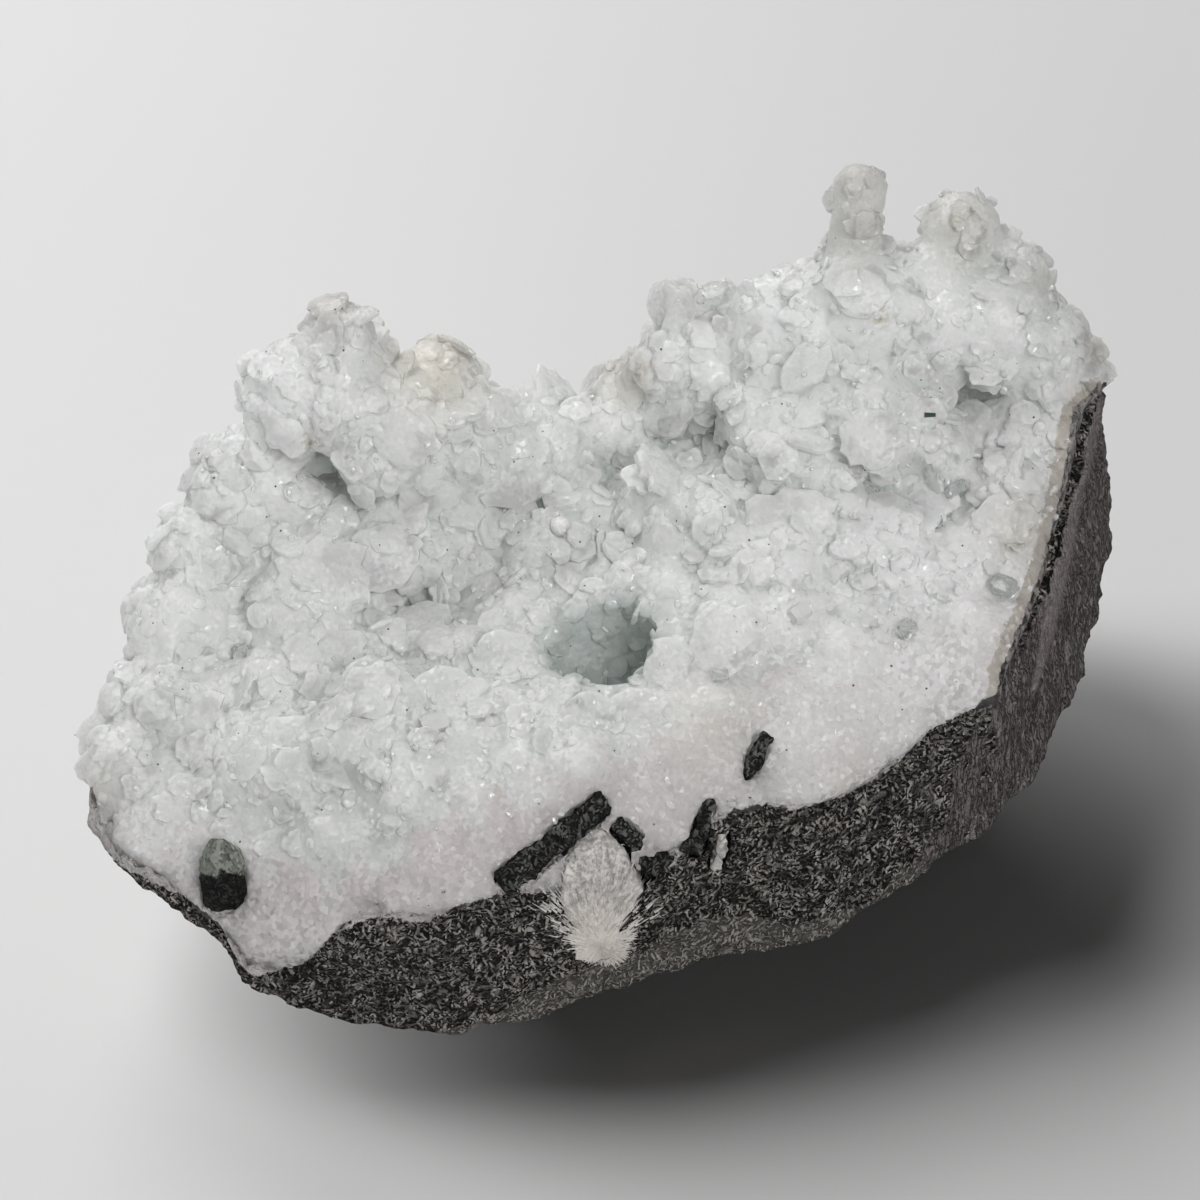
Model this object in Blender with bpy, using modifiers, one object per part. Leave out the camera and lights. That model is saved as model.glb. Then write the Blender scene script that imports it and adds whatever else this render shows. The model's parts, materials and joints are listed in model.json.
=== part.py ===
"""Prehnite with apophyllite on basalt, a hand specimen as it rests.

A pale botryoidal prehnite crust with a white massive base covers a wedge of dark basalt.
Blocky apophyllite crystals and white spherules are seated on the crust, and splinters of basalt
are frozen into the white base. Metres, +Z up: +X runs along the specimen's broken front face,
+Y to its back, and it stands on a small flat spot at z = 0. Tables of places are in millimetres.
"""

import math
import random

import bmesh
import bpy
import numpy as np
from mathutils import Matrix, Vector, noise
from mathutils.bvhtree import BVHTree

MM = 0.001
GAP = 0.3 * MM

# Outlines of the broken block, as places passed in turn round its middle.
MIDDLE = (5.0, 12.0)
FOOT_CENTRE = (5.0, 2.0)
FOOT_RADII = (14.0, 10.0)
LOW_EDGE = (
    (-51.0, -12.5, 19.5),
    (-46.5, -18.5, 18.6),
    (-38.0, -24.0, 15.6),
    (-34.5, -28.2, 12.2),
    (-26.5, -29.5, 8.8),
    (-16.5, -30.2, 8.0),
    (-7.0, -29.0, 8.0),
    (4.0, -23.8, 8.9),
    (16.0, -21.0, 9.2),
    (23.0, -19.5, 10.0),
    (38.6, -8.2, 13.2),
    (44.6, -1.0, 14.6),
    (50.8, 14.0, 16.0),
    (54.3, 27.5, 20.0),
    (50.0, 35.0, 19.0),
    (36.0, 38.0, 16.0),
    (12.0, 36.5, 13.0),
    (-12.0, 33.0, 13.0),
    (-31.0, 27.0, 15.0),
    (-43.0, 14.0, 17.0),
    (-49.0, 0.0, 19.0),
)
SHOULDER = (
    (-51.3, -12.2, 20.8),
    (-44.6, -19.4, 20.9),
    (-37.3, -24.3, 18.2),
    (-33.9, -28.2, 14.8),
    (-26.3, -29.0, 20.6),
    (-16.5, -29.4, 25.4),
    (-7.0, -28.2, 26.8),
    (2.6, -24.4, 25.8),
    (12.8, -19.3, 28.2),
    (20.0, -17.2, 27.0),
    (28.4, -12.4, 27.2),
    (33.0, -9.4, 29.4),
    (38.6, -8.0, 32.6),
    (41.6, -2.6, 33.6),
    (46.6, 12.8, 37.2),
    (51.4, 28.6, 39.6),
    (48.0, 33.0, 38.0),
    (33.0, 35.0, 38.0),
    (12.0, 34.0, 34.0),
    (-8.0, 31.0, 29.0),
    (-24.0, 28.0, 31.0),
    (-37.5, 22.0, 27.0),
    (-44.5, 11.0, 23.0),
    (-49.4, -1.0, 21.8),
)
CREST = (
    (-49.5, -10.5, 22.0),
    (-43.0, -17.3, 22.2),
    (-34.5, -18.9, 22.9),
    (-26.0, -22.3, 25.6),
    (-16.5, -23.2, 28.6),
    (-7.0, -21.5, 30.2),
    (2.0, -17.2, 29.7),
    (10.0, -13.9, 30.9),
    (19.0, -9.8, 31.1),
    (29.0, -4.0, 31.7),
    (37.6, -5.6, 33.3),
    (40.0, -1.5, 35.0),
    (44.5, 12.5, 39.5),
    (50.5, 29.0, 42.0),
    (47.0, 31.5, 43.0),
    (30.0, 33.0, 44.0),
    (12.0, 32.5, 40.0),
    (-4.0, 29.0, 34.0),
    (-20.0, 27.0, 38.0),
    (-36.0, 22.0, 32.0),
    (-44.0, 10.0, 25.5),
    (-49.0, -2.0, 22.5),
)
# Heights inside the crest, where the crust dips into a bowl on the left and rises to the right.
BOWL_SPOTS = (
    (-44.0, -7.0, 23.2),
    (-35.0, -8.5, 25.5),
    (-26.0, -13.5, 27.5),
    (-16.0, -16.0, 30.8),
    (-8.0, -15.2, 32.2),
    (0.0, -11.4, 31.8),
    (9.5, -7.4, 33.1),
    (-16.0, -3.3, 30.6),
    (0.0, -6.5, 33.2),
    (9.8, 1.5, 35.0),
    (-29.0, 8.0, 28.5),
    (-40.0, 3.0, 25.5),
    (-18.0, 8.0, 27.5),
    (-9.0, 6.0, 30.5),
    (0.0, 12.0, 32.0),
    (-9.0, 17.0, 32.5),
    (-25.0, 16.0, 33.5),
    (-31.0, 16.0, 32.0),
    (-37.0, 15.0, 29.0),
    (10.0, 15.0, 36.5),
    (17.0, 6.0, 38.0),
    (26.0, 1.8, 34.2),
    (29.0, 8.0, 36.6),
    (34.0, 11.0, 38.2),
    (37.0, 1.5, 35.5),
    (20.0, 18.0, 39.5),
    (32.0, 20.0, 41.0),
    (41.0, 18.0, 40.5),
)
BELLY = 0.55
BELLY_HEIGHT = 3.2
BELLY_RISE = 0.2
FACE_LEVELS = (0.35, 0.7)
BOWL_RINGS = (0.82, 0.62, 0.4, 0.18)
ANGLES = 72
ROCK_ROUGHNESS = 0.55

# Heights of the boundary between the basalt and the white base: x, y and z.
BOUNDARY_SPOTS = (
    (-50.0, -12.0, 20.6),
    (-44.0, -19.5, 20.4),
    (-37.0, -24.0, 17.6),
    (-33.6, -28.0, 12.8),
    (-28.3, -29.0, 16.2),
    (-24.5, -29.0, 22.0),
    (-20.5, -29.3, 24.0),
    (-13.8, -29.3, 25.6),
    (-6.5, -28.0, 26.3),
    (0.5, -25.0, 25.5),
    (6.0, -23.0, 24.5),
    (12.8, -19.0, 28.0),
    (19.0, -17.5, 26.5),
    (27.9, -12.5, 26.6),
    (32.1, -9.5, 28.6),
    (37.5, -8.0, 32.0),
    (41.5, -2.0, 33.0),
    (45.5, 13.0, 36.6),
    (51.0, 28.0, 39.0),
    (30.0, 37.0, 30.0),
    (5.0, 35.0, 24.0),
    (-25.0, 30.0, 22.0),
    (-46.0, 10.0, 20.5),
    (-10.0, 0.0, 23.0),
    (25.0, 10.0, 29.0),
)

SHEET_REACH = 65.0
SHEET_BOTTOM = -20.0

# Rounded masses of the crust: x, y, z and radius, then how tall each is against its width.
RIDGE_MASSES = (
    (-46.5, -7.0, 21.5, 4.5, 0.9),
    (-44.0, -0.5, 23.0, 5.5, 0.8),
    (-41.5, 8.0, 25.5, 6.0, 0.8),
    (-39.0, 15.0, 28.5, 6.5, 0.9),
    (-35.0, 20.0, 33.5, 6.5, 1.0),
    (-30.5, 24.0, 42.5, 5.6, 1.1),
    (-26.5, 23.5, 44.0, 6.0, 1.2),
    (-20.5, 21.0, 40.0, 6.5, 0.9),
    (-13.5, 22.0, 38.0, 6.0, 0.8),
    (-6.5, 24.0, 35.0, 5.5, 0.8),
    (2.5, 27.0, 35.5, 5.0, 0.9),
    (10.0, 28.5, 42.0, 6.0, 1.0),
    (15.5, 28.5, 42.5, 6.0, 0.9),
    (21.0, 28.0, 47.0, 7.0, 1.1),
    (27.0, 28.0, 50.0, 7.0, 1.1),
    (33.0, 28.0, 50.5, 6.5, 1.1),
    (39.5, 28.0, 49.0, 6.5, 1.0),
    (44.0, 27.5, 45.5, 5.5, 1.0),
    (47.5, 27.5, 41.0, 4.5, 0.9),
    (22.0, 17.0, 38.5, 7.0, 0.7),
    (11.0, 13.0, 35.5, 7.5, 0.6),
    (12.0, 1.0, 32.0, 7.0, 0.6),
    (30.0, 9.0, 35.0, 7.0, 0.6),
    (40.5, 14.0, 38.0, 4.5, 0.8),
    (43.5, 21.5, 40.5, 4.0, 0.8),
    (-29.0, 8.5, 26.0, 7.0, 0.7),
    (-29.0, 14.5, 30.5, 6.0, 0.6),
    (-20.5, 15.0, 31.5, 5.0, 0.6),
    (18.0, 19.5, 42.0, 5.5, 0.8),
    (26.0, 19.0, 43.5, 5.5, 0.8),
    (32.0, 19.0, 42.5, 4.5, 0.7),
    (-20.0, -8.0, 28.0, 8.0, 0.5),
    (-32.0, -9.0, 24.6, 7.0, 0.5),
    (-4.0, 15.0, 30.5, 7.0, 0.6),
    (-3.0, -11.0, 30.2, 7.0, 0.4),
)
# Knobs that stand on the ridges: two ends of each, and the radius at each end.
KNOBS = (
    ((-26.5, 25.0, 45.0), (-25.8, 26.5, 50.0), 3.6, 2.6),
    ((-17.6, 24.0, 40.5), (-16.8, 25.0, 44.6), 3.5, 3.7),
    ((2.4, 28.0, 36.0), (2.4, 29.0, 39.6), 2.0, 2.6),
    ((9.6, 31.0, 44.0), (8.6, 32.0, 48.5), 3.2, 1.9),
    ((14.5, 31.5, 44.0), (13.0, 32.5, 46.5), 3.4, 2.6),
    ((25.4, 31.0, 54.0), (25.6, 32.4, 62.4), 3.2, 2.8),
    ((36.0, 31.5, 53.0), (36.0, 32.6, 57.3), 3.2, 4.0),
    ((42.0, 30.0, 49.5), (42.0, 30.4, 52.4), 4.4, 3.6),
    ((49.4, 28.5, 40.5), (50.2, 29.5, 42.0), 2.4, 1.4),
)
KNOB_STEPS = 4
LOBE_COUNT = 150
LOBE_RADII = (1.6, 3.4)
LOBE_FLATNESS = 0.6
LOBE_MARGIN = 2.2
# Lobes fall along slanting lines aimed at this box, from this far away.
AIM_LOW = (-50.0, -26.0, 34.0)
AIM_HIGH = (52.0, 34.0, 34.0)
AIM_DISTANCE = 100.0
SLANTS = (
    (0.0, 0.0, -1.0),
    (0.0, 0.8, -0.6),
    (0.6, 0.2, -0.75),
    (-0.6, 0.2, -0.75),
    (0.0, -0.7, -0.7),
)

# Vugs in the crust: middle, and half its size along X, Y and Z.
VUGS = (
    ((0.7, -1.4, 31.3), (4.9, 4.7, 6.0)),
    ((-27.0, 20.0, 36.0), (5.0, 3.0, 2.6)),
    ((-18.0, 8.5, 27.5), (2.0, 2.6, 3.0)),
    ((38.0, 25.5, 42.5), (2.4, 4.0, 3.0)),
)

# Basalt laths in the front face: both ends, the width at each, and the face's outward direction.
FRONT_OUT = (0.15, -0.6, 0.8)
SPLINTERS = (
    ((-9.2, -27.5, 26.8), (0.5, -18.7, 28.9), 2.4, 2.0),
    ((1.6, -20.4, 27.8), (5.9, -23.2, 24.2), 1.2, 3.0),
    ((10.7, -18.4, 28.7), (8.7, -21.8, 24.9), 0.7, 2.2),
    ((16.2, -12.2, 31.2), (14.1, -16.0, 29.3), 1.2, 0.8),
)
VEINLET = ((12.5, -18.0, 28.6), (11.2, -20.8, 21.9), 0.8, 0.9)
LATH_DEPTH = 3.2
LATH_STANDS_OUT = 0.5
CHIP_PLACE = (-36.4, -21.6, 21.2)
CHIP_RADII = (2.4, 2.6, 5.0)

# The fibrous plug's outline on the front face, as x and z, and how far back it reaches.
PATCH_OUTLINE = (
    (-3.6, 26.6),
    (0.0, 27.6),
    (2.6, 26.2),
    (4.2, 21.5),
    (2.4, 18.4),
    (1.6, 14.6),
    (-2.6, 14.4),
    (-2.2, 18.4),
    (-3.6, 23.0),
)
PATCH_FRONT = -36.0
PATCH_BACK = -19.5

# Apophyllite blocks: x, y, then width, depth and height, then its turn and tilt in degrees.
APOPHYLLITE = (
    (-16.0, -11.3, 2.6, 1.9, 1.8, 20.0, 12.0),
    (39.6, 3.0, 2.4, 1.6, 1.7, -28.0, 24.0),
    (35.4, 13.1, 2.2, 1.2, 1.2, 35.0, 30.0),
    (32.9, 9.5, 1.8, 1.3, 1.2, 10.0, 18.0),
    (-35.9, 3.5, 1.8, 1.4, 1.3, 24.0, 20.0),
    (19.5, -0.9, 2.0, 1.4, 1.2, 40.0, 15.0),
    (26.4, 12.0, 1.8, 1.3, 1.3, -15.0, 20.0),
    (11.6, -7.5, 1.6, 1.2, 1.1, 8.0, 12.0),
    (30.0, -0.4, 1.9, 1.4, 1.2, 52.0, 22.0),
)
SPHERULES = (
    (-4.0, 12.2, 1.0),
    (-9.0, 9.3, 1.0),
    (-12.8, 12.6, 0.7),
    (-13.6, 3.2, 0.6),
    (-24.9, -6.9, 0.8),
    (-8.7, 17.9, 0.7),
)
CORNER_CUT = 0.28

ROCK_GREY = (0.055, 0.055, 0.052)
SPLINTER_GREY = (0.045, 0.047, 0.043)
AQUA = (0.60, 0.67, 0.64)
CREAM = (0.72, 0.66, 0.58)
WHITE = (0.80, 0.78, 0.77)
CLEAR = (0.90, 0.93, 0.92)


def collection(name):
    group = bpy.data.collections.new(name)
    bpy.context.scene.collection.children.link(group)
    return group


def finish(name, colour, roughness, transmission=0.0):
    material = bpy.data.materials.new(name)
    material.use_nodes = True
    shader = material.node_tree.nodes["Principled BSDF"]
    shader.inputs["Base Color"].default_value = (*colour, 1.0)
    shader.inputs["Roughness"].default_value = roughness
    shader.inputs["Transmission Weight"].default_value = transmission
    material.diffuse_color = (*colour, 1.0)
    return material


def solid(name, bm, group, material=None):
    """Close a bmesh into an object of its own."""
    mesh = bpy.data.meshes.new(name)
    bm.to_mesh(mesh)
    bm.free()
    if material:
        mesh.materials.append(material)
    piece = bpy.data.objects.new(name, mesh)
    group.objects.link(piece)
    return piece


def cutter(name, bm):
    piece = solid(name, bm, CUTTERS)
    piece.hide_render = True
    piece.display_type = "WIRE"
    return piece


def face_outwards(bm):
    """Turn every face outwards, as triangles, so that none is bent where it is cut."""
    bmesh.ops.triangulate(bm, faces=bm.faces)
    bm.normal_update()
    bmesh.ops.recalc_face_normals(bm, faces=bm.faces)


def height_over(x, y, spots):
    """Height in millimetres at (x, y) of the smooth sheet through the spots."""
    spots = np.array(spots)
    squared = (spots[:, 0] - x) ** 2 + (spots[:, 1] - y) ** 2
    weight = 1.0 / (squared + 1.0) ** 2
    return float((weight * spots[:, 2]).sum() / weight.sum())


def outline_at_angles(places):
    """The outline's points at even angles round the middle, in millimetres."""
    places = np.array(places)
    bearings = np.arctan2(places[:, 1] - MIDDLE[1], places[:, 0] - MIDDLE[0])
    angles = np.linspace(-math.pi, math.pi, ANGLES, endpoint=False)
    order = np.argsort(bearings)
    columns = [
        np.interp(angles, bearings[order], places[order, axis], period=2.0 * math.pi)
        for axis in range(3)
    ]
    return np.column_stack(columns)


def foot_outline():
    angles = np.linspace(-math.pi, math.pi, ANGLES, endpoint=False)
    x = FOOT_CENTRE[0] + FOOT_RADII[0] * np.cos(angles)
    y = FOOT_CENTRE[1] + FOOT_RADII[1] * np.sin(angles)
    return np.column_stack([x, y, np.zeros(ANGLES)])


def bowl_outline(share, crest):
    """A ring inside the crest, at a share of the way out from the middle."""
    ring = crest.copy()
    ring[:, :2] = np.array(MIDDLE) + share * (crest[:, :2] - np.array(MIDDLE))
    for point in ring:
        point[2] = height_over(point[0], point[1], CREST + BOWL_SPOTS)
    return ring


def loop_of_edges(bm, outline):
    points = [bm.verts.new(Vector(point) * MM) for point in outline]
    return [bm.edges.new((points[i - 1], points[i])) for i in range(ANGLES)]


def block():
    """The whole broken block, lofted from its foot out to the crest and into the bowl."""
    foot = foot_outline()
    low_edge = outline_at_angles(LOW_EDGE)
    shoulder = outline_at_angles(SHOULDER)
    crest = outline_at_angles(CREST)
    belly = foot + BELLY * (low_edge - foot)
    belly[:, 2] = BELLY_HEIGHT + BELLY_RISE * low_edge[:, 2]
    outlines = [foot, belly, low_edge]
    outlines += [low_edge + level * (shoulder - low_edge) for level in FACE_LEVELS]
    outlines += [shoulder, (shoulder + crest) / 2.0, crest]
    outlines += [bowl_outline(share, crest) for share in BOWL_RINGS]
    bm = bmesh.new()
    rings = [loop_of_edges(bm, outline) for outline in outlines]
    for lower, upper in zip(rings, rings[1:]):
        bmesh.ops.bridge_loops(bm, edges=lower + upper)
    bmesh.ops.contextual_create(bm, geom=rings[0])
    bmesh.ops.contextual_create(bm, geom=rings[-1])
    face_outwards(bm)
    return bm


def roughen(bm, amount, grain, keep_below):
    """Push points along their normals by noise, but leave the flat foot as it is."""
    bm.normal_update()
    for vert in bm.verts:
        if vert.co.z > keep_below:
            push = noise.noise(vert.co / grain) + 0.5 * noise.noise(vert.co * 2.3 / grain)
            vert.co += vert.normal * amount * push


def slab_under_boundary(name, raise_by):
    """Everything below the boundary sheet, as a cutter."""
    bm = bmesh.new()
    made = bmesh.ops.create_grid(bm, x_segments=26, y_segments=26, size=SHEET_REACH * MM)
    for vert in made["verts"]:
        height = height_over(vert.co.x / MM, vert.co.y / MM, BOUNDARY_SPOTS)
        vert.co.z = height * MM + raise_by
    low = bmesh.ops.extrude_face_region(bm, geom=bm.faces[:])
    for vert in low["geom"]:
        if isinstance(vert, bmesh.types.BMVert):
            vert.co.z = SHEET_BOTTOM * MM
    face_outwards(bm)
    return cutter(name, bm)


def add_ball(bm, place, radii, subdivisions=2, turn=None):
    matrix = Matrix.Translation(Vector(place) * MM)
    if turn:
        matrix = matrix @ turn.to_matrix().to_4x4()
    matrix = matrix @ Matrix.Diagonal((*(Vector(radii) * MM), 1.0))
    bmesh.ops.create_icosphere(bm, subdivisions=subdivisions, radius=1.0, matrix=matrix)


def add_knob(bm, start, end, start_radius, end_radius):
    """A knob is a row of overlapping balls from one end to the other."""
    for step in range(KNOB_STEPS + 1):
        share = step / KNOB_STEPS
        place = Vector(start).lerp(Vector(end), share)
        radius = start_radius + share * (end_radius - start_radius)
        add_ball(bm, place, (radius, radius, radius))


def inside_crest(x, y, margin):
    """Whether a place in millimetres lies on the crust's top, clear of its broken faces."""
    crest = np.array(CREST)
    offset = crest[:, :2] - np.array((x, y))
    turned = np.arctan2(offset[:, 1], offset[:, 0])
    swept = np.diff(np.append(turned, turned[0]))
    swept = (swept + math.pi) % (2.0 * math.pi) - math.pi
    nearest = np.hypot(offset[:, 0], offset[:, 1]).min()
    return abs(swept.sum()) > math.pi and nearest > margin


def crust_body():
    bm = block()
    for x, y, z, radius, tallness in RIDGE_MASSES:
        add_ball(bm, (x, y, z), (radius, radius, radius * tallness), subdivisions=3)
    for start, end, start_radius, end_radius in KNOBS:
        add_knob(bm, start, end, start_radius, end_radius)
    return bm


def scatter_lobes(bm):
    """Small rounded lobes wherever a ray from above or aslant meets the crust's top."""
    surface = BVHTree.FromBMesh(bm)
    chance = random.Random(11)
    placed = 0
    while placed < LOBE_COUNT:
        aim = Vector([chance.uniform(low, high) for low, high in zip(AIM_LOW, AIM_HIGH)])
        slant = Vector(SLANTS[placed % len(SLANTS)]).normalized()
        hit, normal, _, _ = surface.ray_cast((aim - slant * AIM_DISTANCE) * MM, slant)
        if hit is None or not inside_crest(hit.x / MM, hit.y / MM, LOBE_MARGIN):
            continue
        radius = chance.uniform(*LOBE_RADII)
        turn = normal.to_track_quat("Z", "Y")
        add_ball(bm, hit / MM, (radius, radius, LOBE_FLATNESS * radius), turn=turn)
        placed += 1


def boolean(piece, other, operation):
    modifier = piece.modifiers.new(other.name, "BOOLEAN")
    modifier.operation = operation
    modifier.object = other


def lath(start, end, start_width, end_width, grow=0.0):
    """A tapering lath lying in the front face, its outer side standing a little proud."""
    start = Vector(start)
    end = Vector(end)
    along = (end - start).normalized()
    out = Vector(FRONT_OUT)
    out = (out - along * out.dot(along)).normalized()
    across = along.cross(out)
    depth = LATH_DEPTH + 2.0 * grow
    middle = (start + end) / 2.0 + out * (LATH_STANDS_OUT - LATH_DEPTH / 2.0)
    half_length = (end - start).length / 2.0 + grow
    bm = bmesh.new()
    bmesh.ops.create_cube(bm, size=2.0)
    for vert in bm.verts:
        width = end_width if vert.co.x > 0.0 else start_width
        width += 2.0 * grow
        place = middle + along * vert.co.x * half_length
        place += out * vert.co.y * depth / 2.0 + across * vert.co.z * width / 2.0
        vert.co = place * MM
    face_outwards(bm)
    return bm


def patch_prism(grow=0.0):
    """The fibrous plug as a prism run back from the front face, grown by a margin in millimetres."""
    middle = Vector((0.4, 21.0))
    bm = bmesh.new()
    points = []
    for x, z in PATCH_OUTLINE:
        offset = Vector((x, z)) - middle
        place = middle + offset * (1.0 + grow / offset.length)
        points.append(bm.verts.new(Vector((place.x, PATCH_FRONT, place.y)) * MM))
    bm.faces.new(points)
    bmesh.ops.triangulate(bm, faces=bm.faces)
    back = bmesh.ops.extrude_face_region(bm, geom=bm.faces[:])
    for vert in back["geom"]:
        if isinstance(vert, bmesh.types.BMVert):
            vert.co.y = (PATCH_BACK + grow) * MM
    face_outwards(bm)
    return bm


def chip_shape(grow=0.0):
    bm = bmesh.new()
    add_ball(bm, CHIP_PLACE, [radius + grow for radius in CHIP_RADII], subdivisions=2)
    for vert in bm.verts:
        push = noise.noise(vert.co / (2.4 * MM))
        vert.co += (vert.co - Vector(CHIP_PLACE) * MM) * 0.22 * push
    return bm


def apophyllite_block(size, turn, tilt, seat, grow=0.0):
    """A stubby square prism with its eight corners cut, the usual form of the mineral."""
    bm = bmesh.new()
    bmesh.ops.create_cube(bm, size=1.0)
    for vert in bm.verts:
        vert.co = Vector([vert.co[axis] * (size[axis] + 2.0 * grow) * MM for axis in range(3)])
    bmesh.ops.bevel(
        bm,
        geom=bm.verts[:],
        offset=CORNER_CUT * min(size) * MM,
        offset_type="OFFSET",
        segments=1,
        profile=0.5,
        affect="VERTICES",
        material=-1,
    )
    place = Matrix.Translation(seat)
    place = place @ Matrix.Rotation(math.radians(turn), 4, "Z")
    place = place @ Matrix.Rotation(math.radians(tilt), 4, "X")
    bmesh.ops.transform(bm, matrix=place, verts=bm.verts)
    face_outwards(bm)
    return bm


def ball(seat, radius):
    bm = bmesh.new()
    add_ball(bm, Vector(seat) / MM, (radius, radius, radius), subdivisions=2)
    return bm


def evaluated_tree(piece):
    graph = bpy.context.evaluated_depsgraph_get()
    return BVHTree.FromObject(piece, graph)


def top_of(surface, x, y):
    """The highest point of a surface over (x, y), given in millimetres."""
    above = Vector((x * MM, y * MM, 0.1))
    hit, _, _, _ = surface.ray_cast(above, Vector((0.0, 0.0, -1.0)))
    return hit


def centre_of_outline():
    """The middle, seen from above, of the box round every piece as it is shaped in the end."""
    graph = bpy.context.evaluated_depsgraph_get()
    corners = []
    for piece in SPECIMEN.objects:
        if piece.type == "MESH":
            shaped = piece.evaluated_get(graph)
            corners += [shaped.matrix_world @ Vector(corner) for corner in shaped.bound_box]
    lows = [min(corner[axis] for corner in corners) for axis in range(2)]
    highs = [max(corner[axis] for corner in corners) for axis in range(2)]
    return Vector(((lows[0] + highs[0]) / 2.0, (lows[1] + highs[1]) / 2.0, 0.0))


for thing in list(bpy.data.objects):
    bpy.data.objects.remove(thing, do_unlink=True)

SPECIMEN = collection("prehnite_with_apophyllite")
CUTTERS = collection("cutters")
CUTTERS.hide_render = True

# The basalt, everything below the boundary sheet.
rock = block()
roughen(rock, ROCK_ROUGHNESS * MM, 5.0 * MM, 0.5 * MM)
basalt = solid("basalt_matrix", rock, SPECIMEN, finish("basalt", ROCK_GREY, 0.9))
boolean(basalt, slab_under_boundary("basalt_side", -GAP / 2.0), "INTERSECT")

# The crust, a block under ridges, knobs and lobes that have grown into one mass.
crust_shape = crust_body()
scatter_lobes(crust_shape)
crust = solid("prehnite_crust", crust_shape, SPECIMEN, finish("prehnite", AQUA, 0.45))
grown = crust.modifiers.new("grown into one", "REMESH")
grown.mode = "VOXEL"
grown.voxel_size = 0.9 * MM
fewer = crust.modifiers.new("coarser faces", "DECIMATE")
fewer.ratio = 0.058
for number, (place, radii) in enumerate(VUGS, 1):
    hollow = bmesh.new()
    add_ball(hollow, place, radii, subdivisions=2)
    roughen(hollow, 1.0 * MM, 3.0 * MM, 0.0)
    boolean(crust, cutter(f"vug_{number}", hollow), "DIFFERENCE")
boolean(crust, slab_under_boundary("crust_side", GAP / 2.0), "DIFFERENCE")

# The fibrous plug, flush with the front face that it was broken on.
fibrous = solid("fibrous_patch", block(), SPECIMEN, finish("cream fibre", CREAM, 0.7))
boolean(fibrous, cutter("patch_shape", patch_prism()), "INTERSECT")
patch_pocket = cutter("patch_pocket", patch_prism(grow=GAP / MM))
boolean(basalt, patch_pocket, "DIFFERENCE")
boolean(crust, patch_pocket, "DIFFERENCE")

# Laths of basalt and the chip, each in its own pocket.
splinter_finish = finish("basalt splinter", SPLINTER_GREY, 0.9)
embedded = [(f"basalt_splinter_{n}", row, splinter_finish) for n, row in enumerate(SPLINTERS, 1)]
embedded.append(("white_veinlet", VEINLET, finish("white vein", WHITE, 0.6)))
for name, row, look in embedded:
    solid(name, lath(*row), SPECIMEN, look)
    pocket = cutter(f"{name}_pocket", lath(*row, grow=GAP / MM))
    boolean(crust, pocket, "DIFFERENCE")
    boolean(basalt, pocket, "DIFFERENCE")
    boolean(fibrous, pocket, "DIFFERENCE")
solid("basalt_chip", chip_shape(), SPECIMEN, splinter_finish)
chip_pocket = cutter("chip_pocket", chip_shape(grow=GAP / MM))
boolean(crust, chip_pocket, "DIFFERENCE")
boolean(basalt, chip_pocket, "DIFFERENCE")

# Crystals and spherules, half sunk into pockets in the crust.
top = evaluated_tree(crust)
clear_finish = finish("apophyllite", CLEAR, 0.05, transmission=0.9)
for number, (x, y, width, depth, height, turn, tilt) in enumerate(APOPHYLLITE, 1):
    name = f"apophyllite_{number}"
    size = (width, depth, height)
    seat = top_of(top, x, y) + Vector((0.0, 0.0, 0.15 * height * MM))
    solid(name, apophyllite_block(size, turn, tilt, seat), SPECIMEN, clear_finish)
    pocket = apophyllite_block(size, turn, tilt, seat, grow=GAP / MM)
    boolean(crust, cutter(f"{name}_pocket", pocket), "DIFFERENCE")
white_finish = finish("white spherule", WHITE, 0.5)
for number, (x, y, radius) in enumerate(SPHERULES, 1):
    name = f"white_spherule_{number}"
    seat = top_of(top, x, y)
    solid(name, ball(seat, radius), SPECIMEN, white_finish)
    boolean(crust, cutter(f"{name}_pocket", ball(seat, radius + GAP / MM)), "DIFFERENCE")

# The origin is the middle of the outline, on the surface that the specimen rests on.
origin = bpy.data.objects.new("origin", None)
SPECIMEN.objects.link(origin)
for piece in list(SPECIMEN.objects) + list(CUTTERS.objects):
    if piece is not origin:
        piece.parent = origin
origin.location = -centre_of_outline()
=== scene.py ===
"""Looks of a hand specimen of prehnite with apophyllite on basalt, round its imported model.

Metres, +Z up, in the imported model's own frame. Sizes are in millimetres where a name or a comment
says so, and places read off the photograph are in pixels of its 1200 by 1200 frame.
"""

import json
import math
import random

import bmesh
import bpy
import numpy as np
from mathutils import Matrix, Vector, noise
from mathutils.bvhtree import BVHTree

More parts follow.
